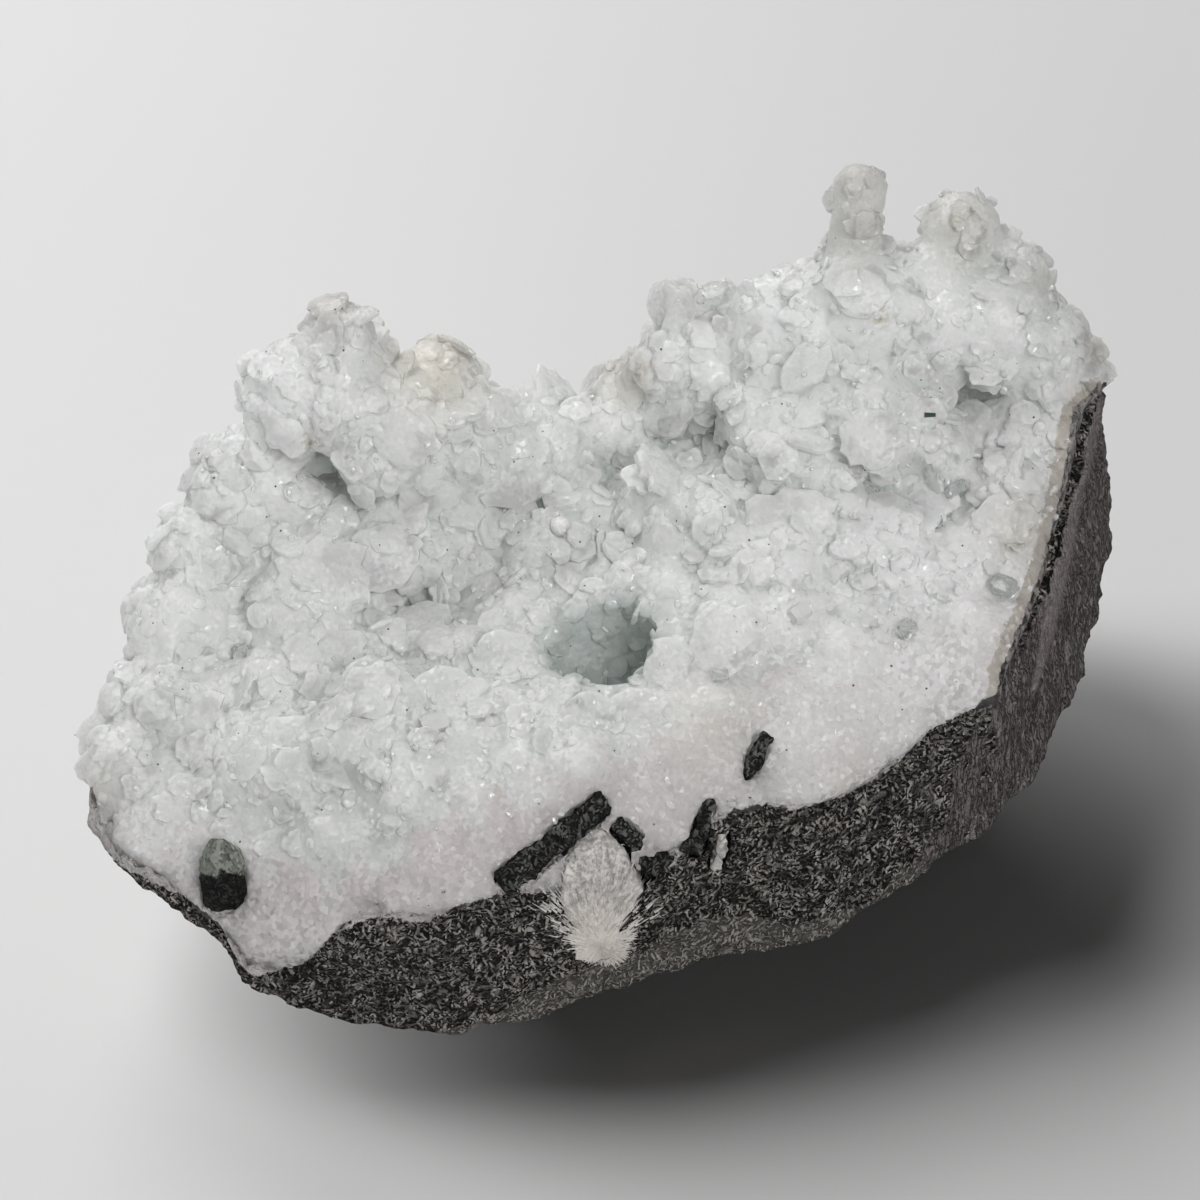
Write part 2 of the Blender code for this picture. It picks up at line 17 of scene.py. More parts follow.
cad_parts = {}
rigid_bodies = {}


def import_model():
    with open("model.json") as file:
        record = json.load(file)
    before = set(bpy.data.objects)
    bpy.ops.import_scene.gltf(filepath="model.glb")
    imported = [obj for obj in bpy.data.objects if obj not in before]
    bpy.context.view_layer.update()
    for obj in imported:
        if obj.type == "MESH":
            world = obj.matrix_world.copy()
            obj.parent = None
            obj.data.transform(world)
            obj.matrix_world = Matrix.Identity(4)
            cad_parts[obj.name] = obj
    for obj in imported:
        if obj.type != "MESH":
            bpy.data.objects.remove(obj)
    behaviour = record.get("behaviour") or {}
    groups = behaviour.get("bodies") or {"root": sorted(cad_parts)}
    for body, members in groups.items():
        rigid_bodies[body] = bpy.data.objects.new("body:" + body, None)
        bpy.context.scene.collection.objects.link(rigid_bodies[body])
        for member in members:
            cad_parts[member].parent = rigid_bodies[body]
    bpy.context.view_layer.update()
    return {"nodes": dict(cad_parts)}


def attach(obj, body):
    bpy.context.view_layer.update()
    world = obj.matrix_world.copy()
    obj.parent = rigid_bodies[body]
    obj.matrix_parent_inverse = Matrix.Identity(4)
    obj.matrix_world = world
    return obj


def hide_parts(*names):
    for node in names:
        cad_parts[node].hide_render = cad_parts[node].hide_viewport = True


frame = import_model()
MM = 0.001

# The stage: a pale sweep under three wide softboxes behind the specimen's left shoulder, a low
# fill in front, a broad fill flagged off the sweep that reaches only the specimen, a faint
# surround, and a camera that looks down on the front at 45 degrees.
CAMERA_AIM = Vector((-1.35, 3.59, 30.0)) * MM
CAMERA_ELEVATION = math.radians(45.0)
CAMERA_DISTANCE = 0.42
CAMERA_LENS = 126.0
SENSOR = 36.0
FRAME_PIXELS = 1200
FLOOR_HALF = 3.0
FLOOR_GREY = (0.80, 0.80, 0.80)
LIGHT_DISTANCE = 3.4
LIGHT_WIDTH = 2.0
# Each light: its compass angle from +X, its height angle and its power.
LIGHTS = (
    ("high_back", 144.0, 54.0, 42.0),
    ("low_back", 164.0, 31.0, 74.0),
    ("right_back", 108.0, 31.0, 42.0),
    ("front_fill", -115.0, 18.0, 9.0),
    ("specimen_fill", -62.0, 46.0, 74.0),
)
SPECIMEN_ONLY = "specimen_fill"
SWEEP_ONLY = "low_back"
SURROUND_GREY = (1.0, 0.97, 0.96)
SURROUND_STRENGTH = 0.02
SURROUND_SEEN = 0.6


def principled(name, colour, roughness):
    """A new material, with its Principled shader."""
    material = bpy.data.materials.new(name)
    material.use_nodes = True
    shader = material.node_tree.nodes["Principled BSDF"]
    shader.inputs["Base Color"].default_value = (*colour, 1.0)
    shader.inputs["Roughness"].default_value = roughness
    return material, shader


def link_object(name, data):
    thing = bpy.data.objects.new(name, data)
    bpy.context.scene.collection.objects.link(thing)
    return thing


view = bpy.data.cameras.new("photo_camera")
view.lens = CAMERA_LENS
view.sensor_width = SENSOR
view.clip_start = 0.01
camera = link_object("photo_camera", view)
back_off = Vector((0.0, -math.cos(CAMERA_ELEVATION), math.sin(CAMERA_ELEVATION)))
CAMERA_PLACE = CAMERA_AIM + back_off * CAMERA_DISTANCE
camera.location = CAMERA_PLACE
camera.rotation_euler = (math.pi / 2.0 - CAMERA_ELEVATION, 0.0, 0.0)
bpy.context.scene.camera = camera

surround = bpy.data.worlds.new("surround")
surround.use_nodes = True
surround.node_tree.nodes["Background"].inputs["Color"].default_value = (*SURROUND_GREY, 1.0)
glow = surround.node_tree.nodes.new("ShaderNodeMath")
glow.operation = "MULTIPLY_ADD"
glow.inputs[1].default_value = SURROUND_SEEN
glow.inputs[2].default_value = SURROUND_STRENGTH
ray = surround.node_tree.nodes.new("ShaderNodeLightPath")
surround.node_tree.links.new(ray.outputs["Is Camera Ray"], glow.inputs[0])
surround.node_tree.links.new(glow.outputs[0], surround.node_tree.nodes["Background"].inputs["Strength"])
bpy.context.scene.world = surround
bpy.context.scene.view_settings.view_transform = "Standard"

for light_name, compass, height, power in LIGHTS:
    softbox = bpy.data.lights.new(light_name, "AREA")
    softbox.shape = "DISK"
    softbox.size = LIGHT_WIDTH
    softbox.energy = power
    lamp = link_object(light_name, softbox)
    level = math.cos(math.radians(height))
    side = math.cos(math.radians(compass)) * level
    depth = math.sin(math.radians(compass)) * level
    toward = Vector((side, depth, math.sin(math.radians(height))))
    lamp.location = toward * LIGHT_DISTANCE
    lamp.rotation_euler = toward.to_track_quat("Z", "Y").to_euler()
specimen = bpy.data.collections.new("specimen")
bpy.data.objects[SPECIMEN_ONLY].light_linking.receiver_collection = specimen

sweep = bmesh.new()
bmesh.ops.create_grid(sweep, x_segments=1, y_segments=1, size=FLOOR_HALF)
floor_mesh = bpy.data.meshes.new("floor")
sweep.to_mesh(floor_mesh)
sweep.free()
floor = link_object("floor", floor_mesh)
floor_look, floor_shader = principled("pale_sweep", FLOOR_GREY, 0.45)
floor_mesh.materials.append(floor_look)
backdrop = bpy.data.collections.new("backdrop")
backdrop.objects.link(floor)
bpy.data.objects[SWEEP_ONLY].light_linking.receiver_collection = backdrop


# The basalt: the dark wedge of lava rock that the crust grew on, broken off on its front and
# right faces. Felspar laths show as a pale felt on the near-black ground, the right face has
# weathered paler, and a band along the lower edge is paler.
ROCK_GRAIN = 0.46 * MM
ROCK_RELIEF = ((0.75, 6.0), (0.42, 2.2), (0.24, 0.8))
ROCK_DARK = (0.006, 0.0055, 0.005)
ROCK_PALE = (0.44, 0.405, 0.38)


def merged_copy(node):
    """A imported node's shape in a bmesh, with its loose triangles joined."""
    shape = bmesh.new()
    shape.from_mesh(frame["nodes"][node].data)
    bmesh.ops.remove_doubles(shape, verts=shape.verts, dist=1e-7)
    return shape


def as_object(shape, name):
    mesh = bpy.data.meshes.new(name)
    shape.to_mesh(mesh)
    shape.free()
    return link_object(name, mesh)


def applied(piece):
    """Replace a piece's mesh by the result of its modifiers."""
    graph = bpy.context.evaluated_depsgraph_get()
    result = bpy.data.meshes.new_from_object(piece.evaluated_get(graph))
    piece.modifiers.clear()
    piece.data = result
    piece.data.name = piece.name


def even_skin(piece, grain):
    """Rebuild a piece as even faces of one size."""
    remesh = piece.modifiers.new("even faces", "REMESH")
    remesh.mode = "VOXEL"
    remesh.voxel_size = grain
    applied(piece)


def relief(piece, rows, share=None):
    """Push points along their normals by rows of noise: amount and grain in millimetres."""
    shape = bmesh.new()
    shape.from_mesh(piece.data)
    shape.normal_update()
    for number, vert in enumerate(shape.verts):
        push = sum(amount * noise.noise(vert.co / (grain * MM)) for amount, grain in rows)
        if share is not None:
            push *= share[number]
        vert.co += vert.normal * push * MM
    shape.to_mesh(piece.data)
    shape.free()


def rest_on_floor(piece):
    """Keep a piece's lowest points on the floor."""
    for vert in piece.data.vertices:
        vert.co.z = max(vert.co.z, 0.0)


def wear(piece, material, node):
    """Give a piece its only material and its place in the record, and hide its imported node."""
    piece.data.materials.clear()
    piece.data.materials.append(material)
    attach(piece, "root")
    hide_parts(node)


class Nodes:
    """Short ways to add nodes to a tree whose textures read the given places."""

    def __init__(self, tree, places=None):
        self.tree = tree
        self.places = places

    def add(self, kind, **settings):
        node = self.tree.nodes.new(kind)
        for name, value in settings.items():
            setattr(node, name, value)
        return node

    def join(self, output, socket):
        self.tree.links.new(output, socket)

    def fill(self, sockets, values):
        """Set or link sockets in order: a number or colour is set, an output is linked."""
        for socket, value in zip(sockets, values):
            if isinstance(value, float):
                socket.default_value = value
            elif isinstance(value, tuple):
                socket.default_value = (*value, 1.0)[: len(socket.default_value)]
            else:
                self.join(value, socket)

    def scaled(self, per_mm, stretch=(1.0, 1.0, 1.0)):
        """The places, with so many units in a millimetre."""
        node = self.add("ShaderNodeVectorMath", operation="MULTIPLY")
        self.fill(node.inputs, (self.places, tuple(axis * per_mm / MM for axis in stretch)))
        return node.outputs[0]

    def grain(self, per_mm, detail=2.0, rough=0.55, bend=0.0, stretch=(1.0, 1.0, 1.0)):
        """Noise with so many features in a millimetre."""
        texture = self.add("ShaderNodeTexNoise")
        texture.inputs["Scale"].default_value = 1.0
        texture.inputs["Detail"].default_value = detail
        texture.inputs["Roughness"].default_value = rough
        texture.inputs["Distortion"].default_value = bend
        self.join(self.scaled(per_mm, stretch), texture.inputs["Vector"])
        return texture.outputs["Fac"]

    def ramp(self, value, low, high, start=0.0, end=1.0):
        """A value stretched so that low to high becomes start to end, and held at both ends."""
        node = self.add("ShaderNodeMapRange", interpolation_type="SMOOTHSTEP")
        self.fill(node.inputs, (value, low, high, start, end))
        return node.outputs["Result"]

    def math(self, operation, *values):
        node = self.add("ShaderNodeMath", operation=operation)
        self.fill(node.inputs, values)
        return node.outputs[0]

    def vector(self, operation, *values):
        node = self.add("ShaderNodeVectorMath", operation=operation)
        self.fill(node.inputs, values)
        return node.outputs["Value" if operation == "DOT_PRODUCT" else "Vector"]

    def blend(self, share, one, other, kind="MIX"):
        """Mix two colours by a share."""
        node = self.add("ShaderNodeMix", data_type="RGBA", blend_type=kind)
        self.fill((node.inputs[0], node.inputs[6], node.inputs[7]), (share, one, other))
        return node.outputs[2]

    def effect(self, group, **values):
        """Place an effect that several materials share, with this material's values."""
        node = self.add("ShaderNodeGroup", node_tree=group)
        self.join(self.places, node.inputs["Places"])
        for name, value in values.items():
            node.inputs[name].default_value = value
        return node.outputs


class Look(Nodes):
    """A material's nodes, which feed its shader."""

    def __init__(self, name, colour, roughness):
        self.material, self.shader = principled(name, colour, roughness)
        super().__init__(self.material.node_tree)
        self.places = self.add("ShaderNodeTexCoord").outputs["Object"]

    def set(self, name, value):
        self.shader.inputs[name].default_value = value

    def feed(self, output, name):
        self.join(output, self.shader.inputs[name])

    def attribute(self, name):
        return self.add("ShaderNodeAttribute", attribute_name=name).outputs["Fac"]

    def bumps(self, *rows):
        """Bump nodes in a row: height, depth in millimetres and strength."""
        normal = None
        for height, depth, strength in rows:
            bump = self.add("ShaderNodeBump")
            bump.inputs["Strength"].default_value = strength
            bump.inputs["Distance"].default_value = depth * MM
            self.join(height, bump.inputs["Height"])
            if normal:
                self.join(normal, bump.inputs["Normal"])
            normal = bump.outputs["Normal"]
        self.feed(normal, "Normal")


def shared_effect(name, inputs, outputs):
    """A node group that reads places and some values, with its nodes and its two ends."""
    group = bpy.data.node_groups.new(name, "ShaderNodeTree")
    group.interface.new_socket("Places", in_out="INPUT", socket_type="NodeSocketVector")
    for socket in inputs:
        group.interface.new_socket(socket, in_out="INPUT", socket_type="NodeSocketFloat")
    for socket in outputs:
        group.interface.new_socket(socket, in_out="OUTPUT", socket_type="NodeSocketFloat")
    start = group.nodes.new("NodeGroupInput")
    end = group.nodes.new("NodeGroupOutput")
    return group, Nodes(group, start.outputs["Places"]), start.outputs, end.inputs


# Crystal grains: cells that each have a facing of their own. Tilt is the height over the cell's
# own slanting plane, Pick a number of the cell's own, and Reach the distance from its middle.
CRYSTAL_GRAINS, nodes, start, end = shared_effect("crystal grains", ["Per mm"], ["Tilt", "Pick", "Reach"])
per_metre = nodes.math("MULTIPLY", start["Per mm"], 1.0 / MM)
scaling = nodes.add("ShaderNodeVectorMath", operation="SCALE")
nodes.join(start["Places"], scaling.inputs[0])
nodes.join(per_metre, scaling.inputs["Scale"])
cell = nodes.add("ShaderNodeTexVoronoi")
cell.inputs["Scale"].default_value = 1.0
nodes.join(scaling.outputs[0], cell.inputs["Vector"])
local = nodes.vector("SUBTRACT", scaling.outputs[0], cell.outputs["Position"])
own_side = nodes.vector("SUBTRACT", cell.outputs["Color"], (0.5, 0.5, 0.5))
own_facing = nodes.vector("NORMALIZE", own_side)
nodes.join(nodes.vector("DOT_PRODUCT", local, own_facing), end["Tilt"])
split = nodes.add("ShaderNodeSeparateXYZ")
nodes.join(cell.outputs["Color"], split.inputs[0])
nodes.join(split.outputs["X"], end["Pick"])
nodes.join(cell.outputs["Distance"], end["Reach"])

# Felt: each cell shows one lath that crosses it, in two sizes, and every lath has its own tone.
# Share is how far the laths show, which comes and goes in patches.
FELT, nodes, start, end = shared_effect("felt of laths", ["Per mm", "Width"], ["Laths", "Share"])
layers = []
for share in (1.0, 1.7):
    finer = nodes.add("ShaderNodeGroup", node_tree=CRYSTAL_GRAINS)
    nodes.join(start["Places"], finer.inputs["Places"])
    nodes.join(nodes.math("MULTIPLY", start["Per mm"], share), finer.inputs["Per mm"])
    off_plane = nodes.math("ABSOLUTE", finer.outputs["Tilt"])
    inside = nodes.math("SUBTRACT", 1.0, nodes.math("DIVIDE", off_plane, start["Width"]))
    lath = nodes.ramp(inside, 0.0, 0.6)
    tone = nodes.ramp(finer.outputs["Pick"], 0.2, 0.95, 0.1, 1.0)
    layers.append(nodes.math("MULTIPLY", lath, tone))
all_laths = nodes.math("MAXIMUM", *layers)
nodes.join(all_laths, end["Laths"])
patches = nodes.ramp(nodes.grain(0.6, detail=5.0, rough=0.75), 0.38, 0.62, 0.2, 1.0)
nodes.join(nodes.math("MULTIPLY", all_laths, patches), end["Share"])


def add_values(piece, name, values):
    """Give each point of a piece a number that its material reads by name."""
    layer = piece.data.attributes.new(name, "FLOAT", "POINT")
    layer.data.foreach_set("value", np.clip(values, 0.0, 1.0).astype(np.float32))


def point_table(piece, what="co"):
    """The points of a piece, or their normals, as rows of a table."""
    values = np.empty(len(piece.data.vertices) * 3, np.float32)
    source = piece.data.vertices if what == "co" else piece.data.vertex_normals
    source.foreach_get("co" if what == "co" else "vector", values)
    return values.reshape(-1, 3)


def sight(px, py):
    """The camera's line of sight through a pixel of the photograph."""
    half = FRAME_PIXELS / 2.0
    across = (px - half) / FRAME_PIXELS * SENSOR / CAMERA_LENS
    up = (half - py) / FRAME_PIXELS * SENSOR / CAMERA_LENS
    line = Vector((across, up, -1.0))
    line.rotate(camera.rotation_euler)
    return line.normalized()


def to_pixels(points):
    """Where points, as rows of a table in metres, fall in the photograph."""
    turn = np.array(camera.rotation_euler.to_matrix())
    seen = (points - np.array(CAMERA_PLACE)) @ turn
    scale = FRAME_PIXELS * CAMERA_LENS / SENSOR
    half = FRAME_PIXELS / 2.0
    return half - scale * seen[:, 0] / seen[:, 2], half + scale * seen[:, 1] / seen[:, 2]


def spots(points, rows):
    """How strongly soft round spots cover each point: pixel x and y, radius and strength."""
    across, down = to_pixels(points)
    cover = np.zeros(len(points))
    for x, y, radius, strength in rows:
        distance = ((across - x) ** 2 + (down - y) ** 2) / radius**2
        cover = np.maximum(cover, strength * np.exp(-distance))
    return cover


def band(points, rows):
    """How far points lie inside a band that runs down the photograph: 1 in its middle."""
    across, down = to_pixels(points)
    rows = np.array(rows, float)
    middle = np.interp(down, rows[:, 0], rows[:, 1])
    half = np.interp(down, rows[:, 0], rows[:, 2])
    inside = (down > rows[0, 0]) & (down < rows[-1, 0])
    return np.where(inside, 1.0 - np.abs(across - middle) / half, 0.0)


def rock_look(name, dark, pale):
    """Basalt: pale felspar laths felted on a dark ground."""
    look = Look(name, dark, 0.8)
    look.set("Specular IOR Level", 0.1)
    felt = look.effect(FELT, **{"Per mm": 1.55, "Width": 0.28})
    return look, look.blend(felt["Share"], dark, pale), felt["Laths"]


# The line down to which the white base reaches on the front: x and y in pixels.
BOUNDARY = (
    (60, 800),
    (80, 838),
    (100, 845),
    (123, 868),
    (186, 898),
    (219, 922),
    (238, 962),
    (253, 977),
    (305, 963),
    (335, 933),
    (378, 916),
    (427, 923),
    (454, 906),
    (497, 895),
    (561, 892),
    (610, 880),
    (670, 868),
    (705, 830),
    (734, 809),
    (769, 804),
    (797, 809),
    (845, 795),
    (887, 772),
    (929, 730),
    (967, 711),
    (1000, 688),
)
BOUNDARY_DEPTH = 70.0
WHITE_SKIN = (0.50, 0.475, 0.47)
# The smooth vein down the broken right side: y, x of its middle and half width, in pixels.
VEIN_BAND = (
    (372, 1094, 10),
    (410, 1090, 17),
    (450, 1081, 17),
    (490, 1073, 13),
    (540, 1066, 11),
    (590, 1056, 10),
    (640, 1046, 8),
    (690, 1034, 3),
)
# The long pits on that side: x and y of both ends and half width, in pixels.
PIT_RUNS = (
    (1074, 398, 1072, 412, 5),
    (1067, 458, 1062, 512, 8),
    (1059, 528, 1056, 554, 6),
    (1050, 562, 1044, 592, 6),
)
PIT_SPOTS = [
    (x1 + (x2 - x1) * step / 9.0, y1 + (y2 - y1) * step / 9.0, half, 1.0)
    for x1, y1, x2, y2, half in PIT_RUNS
    for step in range(10)
]
SIDE_DARK = (0.010, 0.009, 0.009)
SIDE_PALE = (0.27, 0.237, 0.237)
VEIN_GREY = (0.19, 0.170, 0.164)
VEIN_PALE = (0.30, 0.272, 0.262)
# Painted shade in the long pits, which have no depth of their own.
PIT_PAINTED_SHADE = (0.006, 0.005, 0.005)
LEDGE_PALE = (0.32, 0.298, 0.275)
LEDGE_DARK = (0.065, 0.060, 0.055)
RIM_RAISE = 1.0 * MM
RIM_TUCK = 0.7 * MM
RIM_REACH = 5.0 * MM
RIM_END = 40.0 * MM
# The upper edge of the paler ledge along the bottom of the front: x and y in pixels.
LEDGE_LINE = (
    (380, 1042),
    (470, 1026),
    (527, 998),
    (564, 974),
    (645, 950),
    (676, 932),
    (707, 920),
    (750, 914),
    (790, 926),
    (844, 911),
    (875, 898),
    (900, 870),
    (968, 836),
    (1000, 820),
)

STREAKS, nodes, start, end = shared_effect("streaks", [], ["Fac"])
nodes.join(nodes.grain(1.7, detail=2.0, rough=0.7, bend=0.8, stretch=(1.0, 0.9, 0.2)), end["Fac"])


def side_look(look):
    """The colours of the broken right side, and its streaks."""
    streaks = look.effect(STREAKS)["Fac"]
    colour = look.blend(look.ramp(streaks, 0.43, 0.67), SIDE_DARK, SIDE_PALE)
    smooth = look.math("MULTIPLY_ADD", streaks, -3.0, look.attribute("vein"))
    vein = look.blend(look.ramp(streaks, 0.35, 0.6), VEIN_GREY, VEIN_PALE)
    colour = look.blend(look.ramp(smooth, -1.45, -1.1), colour, vein)
    # Painted shade in the pits.
    pits = look.math("MULTIPLY_ADD", streaks, -1.6, look.attribute("pits"))
    return look.blend(look.ramp(pits, -0.4, -0.15), colour, PIT_PAINTED_SHADE), streaks


crust_nodes_tree = BVHTree.FromBMesh(merged_copy("prehnite_crust"))
rock_shape = merged_copy("basalt_matrix")
for vert in rock_shape.verts:
    _, _, _, gap = crust_nodes_tree.find_nearest(vert.co)
    if gap < 0.6 * MM and vert.normal.z > 0.2 and vert.co.x < RIM_END:
        inward = Vector((-vert.co.x, -vert.co.y, 0.0)).normalized()
        vert.co += inward * RIM_TUCK
        vert.co.z += RIM_RAISE
rock = as_object(rock_shape, "basalt")
even_skin(rock, ROCK_GRAIN)
relief(rock, ROCK_RELIEF)
rest_on_floor(rock)
rock.data.shade_smooth()
rock_points = point_table(rock)
rock_normals = point_table(rock, "normal")
side_share = (rock_normals[:, 0] - 0.25) / 0.35 * np.clip((rock_points[:, 0] / MM - 28.0) / 6.0, 0.0, 1.0)
add_values(rock, "side", side_share)
add_values(rock, "vein", band(rock_points, VEIN_BAND))
add_values(rock, "pits", spots(rock_points, PIT_SPOTS))
boundary = np.array(BOUNDARY)


def below_boundary(points):
    """How many pixels points show below the white base's lower line; far below past its end."""
    across, down = to_pixels(points)
    below = down - np.interp(across, boundary[:, 0], boundary[:, 1])
    return np.where(across > boundary[-1, 0], BOUNDARY_DEPTH, below)


rock_below = below_boundary(rock_points)
in_reach = (rock_below > -BOUNDARY_DEPTH) & (rock_normals[:, 1] < 0.3) & (rock_points[:, 1] < 0.004)
add_values(rock, "whitened", np.where(in_reach, 0.5 - rock_below / 12.0, 0.0))
ledge_line = np.array(LEDGE_LINE)
rock_px, rock_py = to_pixels(rock_points)
below_ledge = rock_py - np.interp(rock_px, ledge_line[:, 0], ledge_line[:, 1])
add_values(rock, "ledge", np.where(rock_points[:, 1] < 0.0, 0.5 + below_ledge / 16.0, 0.0))

basalt, ground, laths = rock_look("basalt", ROCK_DARK, ROCK_PALE)
ledge_edge = basalt.math("ADD", basalt.attribute("ledge"), basalt.grain(0.6, detail=4.0))
ledge_share = basalt.ramp(ledge_edge, 0.9, 1.15, 0.0, 0.85)
# The paler band along the lower edge: laths on a dark ground.
ledge_colour = basalt.blend(laths, LEDGE_DARK, LEDGE_PALE)
colour = basalt.blend(ledge_share, ground, ledge_colour)
side_colour, streaks = side_look(basalt)
colour = basalt.blend(basalt.ramp(basalt.attribute("side"), 0.2, 0.6), colour, side_colour)
teeth = basalt.math("ADD", basalt.attribute("whitened"), basalt.grain(1.1, detail=3.0))
colour = basalt.blend(basalt.ramp(teeth, 0.92, 1.08), colour, WHITE_SKIN)
basalt.feed(colour, "Base Color")
grooves = basalt.math("MULTIPLY", streaks, basalt.attribute("side"))
basalt.bumps((laths, 0.25, 1.0), (grooves, 0.8, 1.0), (basalt.grain(1.6, detail=2.0, rough=0.65), 0.45, 1.0))
wear(rock, basalt.material, "basalt_matrix")

# The crust: pale aqua prehnite grown as overlapping rounded plates and lobes over ridges and
# knobs, on a massive white base that shows on the broken front. Every plate is grown together
# with its neighbours into one skin.
BODY_GRAIN = 0.55 * MM
BODY_TRIANGLES = 46000
CRUST_TRIANGLES = 190000
UNDER_BASALT = 2.6 * MM
UNDER_TUCK = 0.8 * MM
NEAR_BASALT = 0.5 * MM
HOLE_PLACE = Vector((-0.9, -5.4, 31.5)) * MM
HOLE_RADII = Vector((5.9, 5.4, 6.6)) * MM
AQUA = (0.81, 0.828, 0.81)
CLOUD = (0.82, 0.83, 0.82)
# Painted shade for the creases between plates and a painted highlight for their rims.
CREASE_PAINTED_SHADE = (0.68, 0.71, 0.69)
RIM_PAINTED_HIGHLIGHT = (0.96, 0.965, 0.96)
# Painted shade for the inside of the hole.
HOLLOW_PAINTED_SHADE = (0.58, 0.62, 0.60)
MASSIVE_WHITE = (0.79, 0.762, 0.752)
# A mauve tint that also serves as painted shade on the front of the white base.
MAUVE_TINT_AND_SHADE = (0.61, 0.57, 0.56)
CREAM = (0.80, 0.76, 0.67)
# A grey tone that also serves as painted shade in recesses.
GREY_AND_SHADE = (0.63, 0.65, 0.635)
KNOB_BEIGE = (0.56, 0.545, 0.505)
# Painted light: paler colours that lift the crust where it lies in shade.
PAINTED_LIGHT_AQUA = (0.96, 0.972, 0.962)
PAINTED_LIGHT_WHITE = (0.975, 0.962, 0.955)
STAIN = (0.36, 0.28, 0.16)
STRIP_CREAM = (0.52, 0.485, 0.43)
STRIP_WIDTH = 15.0
GRAIN_DIM = (0.66, 0.64, 0.63)
SPECK = (0.10, 0.095, 0.085)
SEAM_DARK = (0.05, 0.048, 0.046)
# The upper edge of the massive white base on the front, in pixels of the photograph.
BASE_LINE = (
    (80, 850),
    (200, 850),
    (300, 872),
    (400, 850),
    (500, 790),
    (600, 755),
    (700, 700),
    (800, 672),
    (900, 640),
    (1000, 600),
    (1100, 560),
)
# The crust's right edge, past which its broken side shows: y and x in pixels.
SIDE_LINE = ((382, 1100), (396, 1088), (408, 1073), (480, 1062), (560, 1044), (620, 1022), (668, 1000), (720, 992))
PIXEL = 0.1 * MM
FLAP_SHARE = 0.7
# Soft round spots: x and y in pixels, radius in pixels and strength.
STAIN_SPOTS = (
    (311, 443, 8, 0.9),
    (326, 424, 8, 0.8),
    (352, 415, 5, 0.5),
    (880, 316, 8, 0.9),
    (610, 373, 6, 0.5),
    (640, 369, 7, 0.6),
    (955, 225, 5, 0.9),
    (968, 214, 4, 0.7),
    (840, 402, 3, 1.0),
    (500, 788, 4, 0.9),
    (192, 860, 5, 0.9),
    (100, 845, 5, 0.9),
    (141, 862, 3, 0.8),
    (424, 338, 12, 0.3),
    (460, 340, 10, 0.35),
    (470, 372, 8, 0.25),
)
CREAM_SPOTS = (
    (436, 365, 46, 0.95),
    (625, 380, 26, 0.5),
    (715, 720, 48, 0.5),
    (850, 780, 28, 0.5),
    (1021, 533, 24, 0.7),
    (1078, 400, 14, 0.9),
    (1068, 440, 11, 1.0),
    (1060, 480, 11, 1.0),
    (1052, 520, 11, 0.9),
    (1042, 560, 11, 0.9),
    (1030, 600, 12, 0.9),
    (1016, 640, 13, 0.9),
    (1000, 672, 12, 0.8),
    (600, 945, 40, 0.6),
    (330, 300, 26, 0.35),
    (95, 790, 30, 0.4),
)
# A grey tone on some lobes, and painted shade in the recesses under the left and right ridges.
GREY_AND_SHADE_SPOTS = (
    (350, 830, 120, 0.9),
    (230, 800, 70, 0.6),
    (470, 800, 80, 0.7),
    (620, 740, 80, 0.5),
    (640, 520, 90, 0.35),
    (1035, 288, 44, 0.7),
    (350, 470, 30, 0.5),
    (440, 505, 26, 0.4),
    (1003, 352, 17, 0.8),
    (970, 402, 18, 0.8),
    (925, 392, 40, 0.5),
    (253, 577, 12, 0.8),
    (420, 594, 10, 0.9),
    (406, 648, 9, 0.9),
    (345, 718, 15, 0.7),
    (560, 690, 14, 0.8),
)
KNOB_SPOTS = (
    (862, 175, 46, 1.0),
    (858, 225, 44, 0.8),
    (962, 222, 48, 0.95),
    (1040, 275, 36, 0.6),
    (1098, 349, 20, 1.0),
    (328, 300, 40, 0.5),
    (625, 372, 26, 0.7),
    (700, 298, 26, 0.45),
    (1015, 520, 34, 0.5),
)
# Painted light on slopes of the crust that lie in shade, most of all the slope below the right-hand knobs.
PAINTED_LIGHT_SPOTS = (
    (930, 560, 100, 1.0),
    (1000, 480, 60, 0.8),
    (790, 570, 80, 0.4),
    (900, 680, 90, 1.0),
    (800, 740, 60, 0.9),
    (400, 500, 80, 0.5),
    (260, 390, 100, 0.7),
    (960, 350, 60, 0.7),
    (780, 330, 70, 0.6),
)
# Mauve tint on the white base, with painted shade darkening its front left and middle.
MAUVE_AND_SHADE_SPOTS = (
    (300, 890, 60, 0.9),
    (370, 860, 80, 1.0),
    (440, 850, 80, 1.0),
    (520, 830, 70, 1.0),
    (560, 790, 50, 0.6),
    (630, 860, 50, 0.9),
    (700, 800, 40, 0.5),
    (245, 910, 40, 0.5),
    (180, 850, 50, 0.5),
)


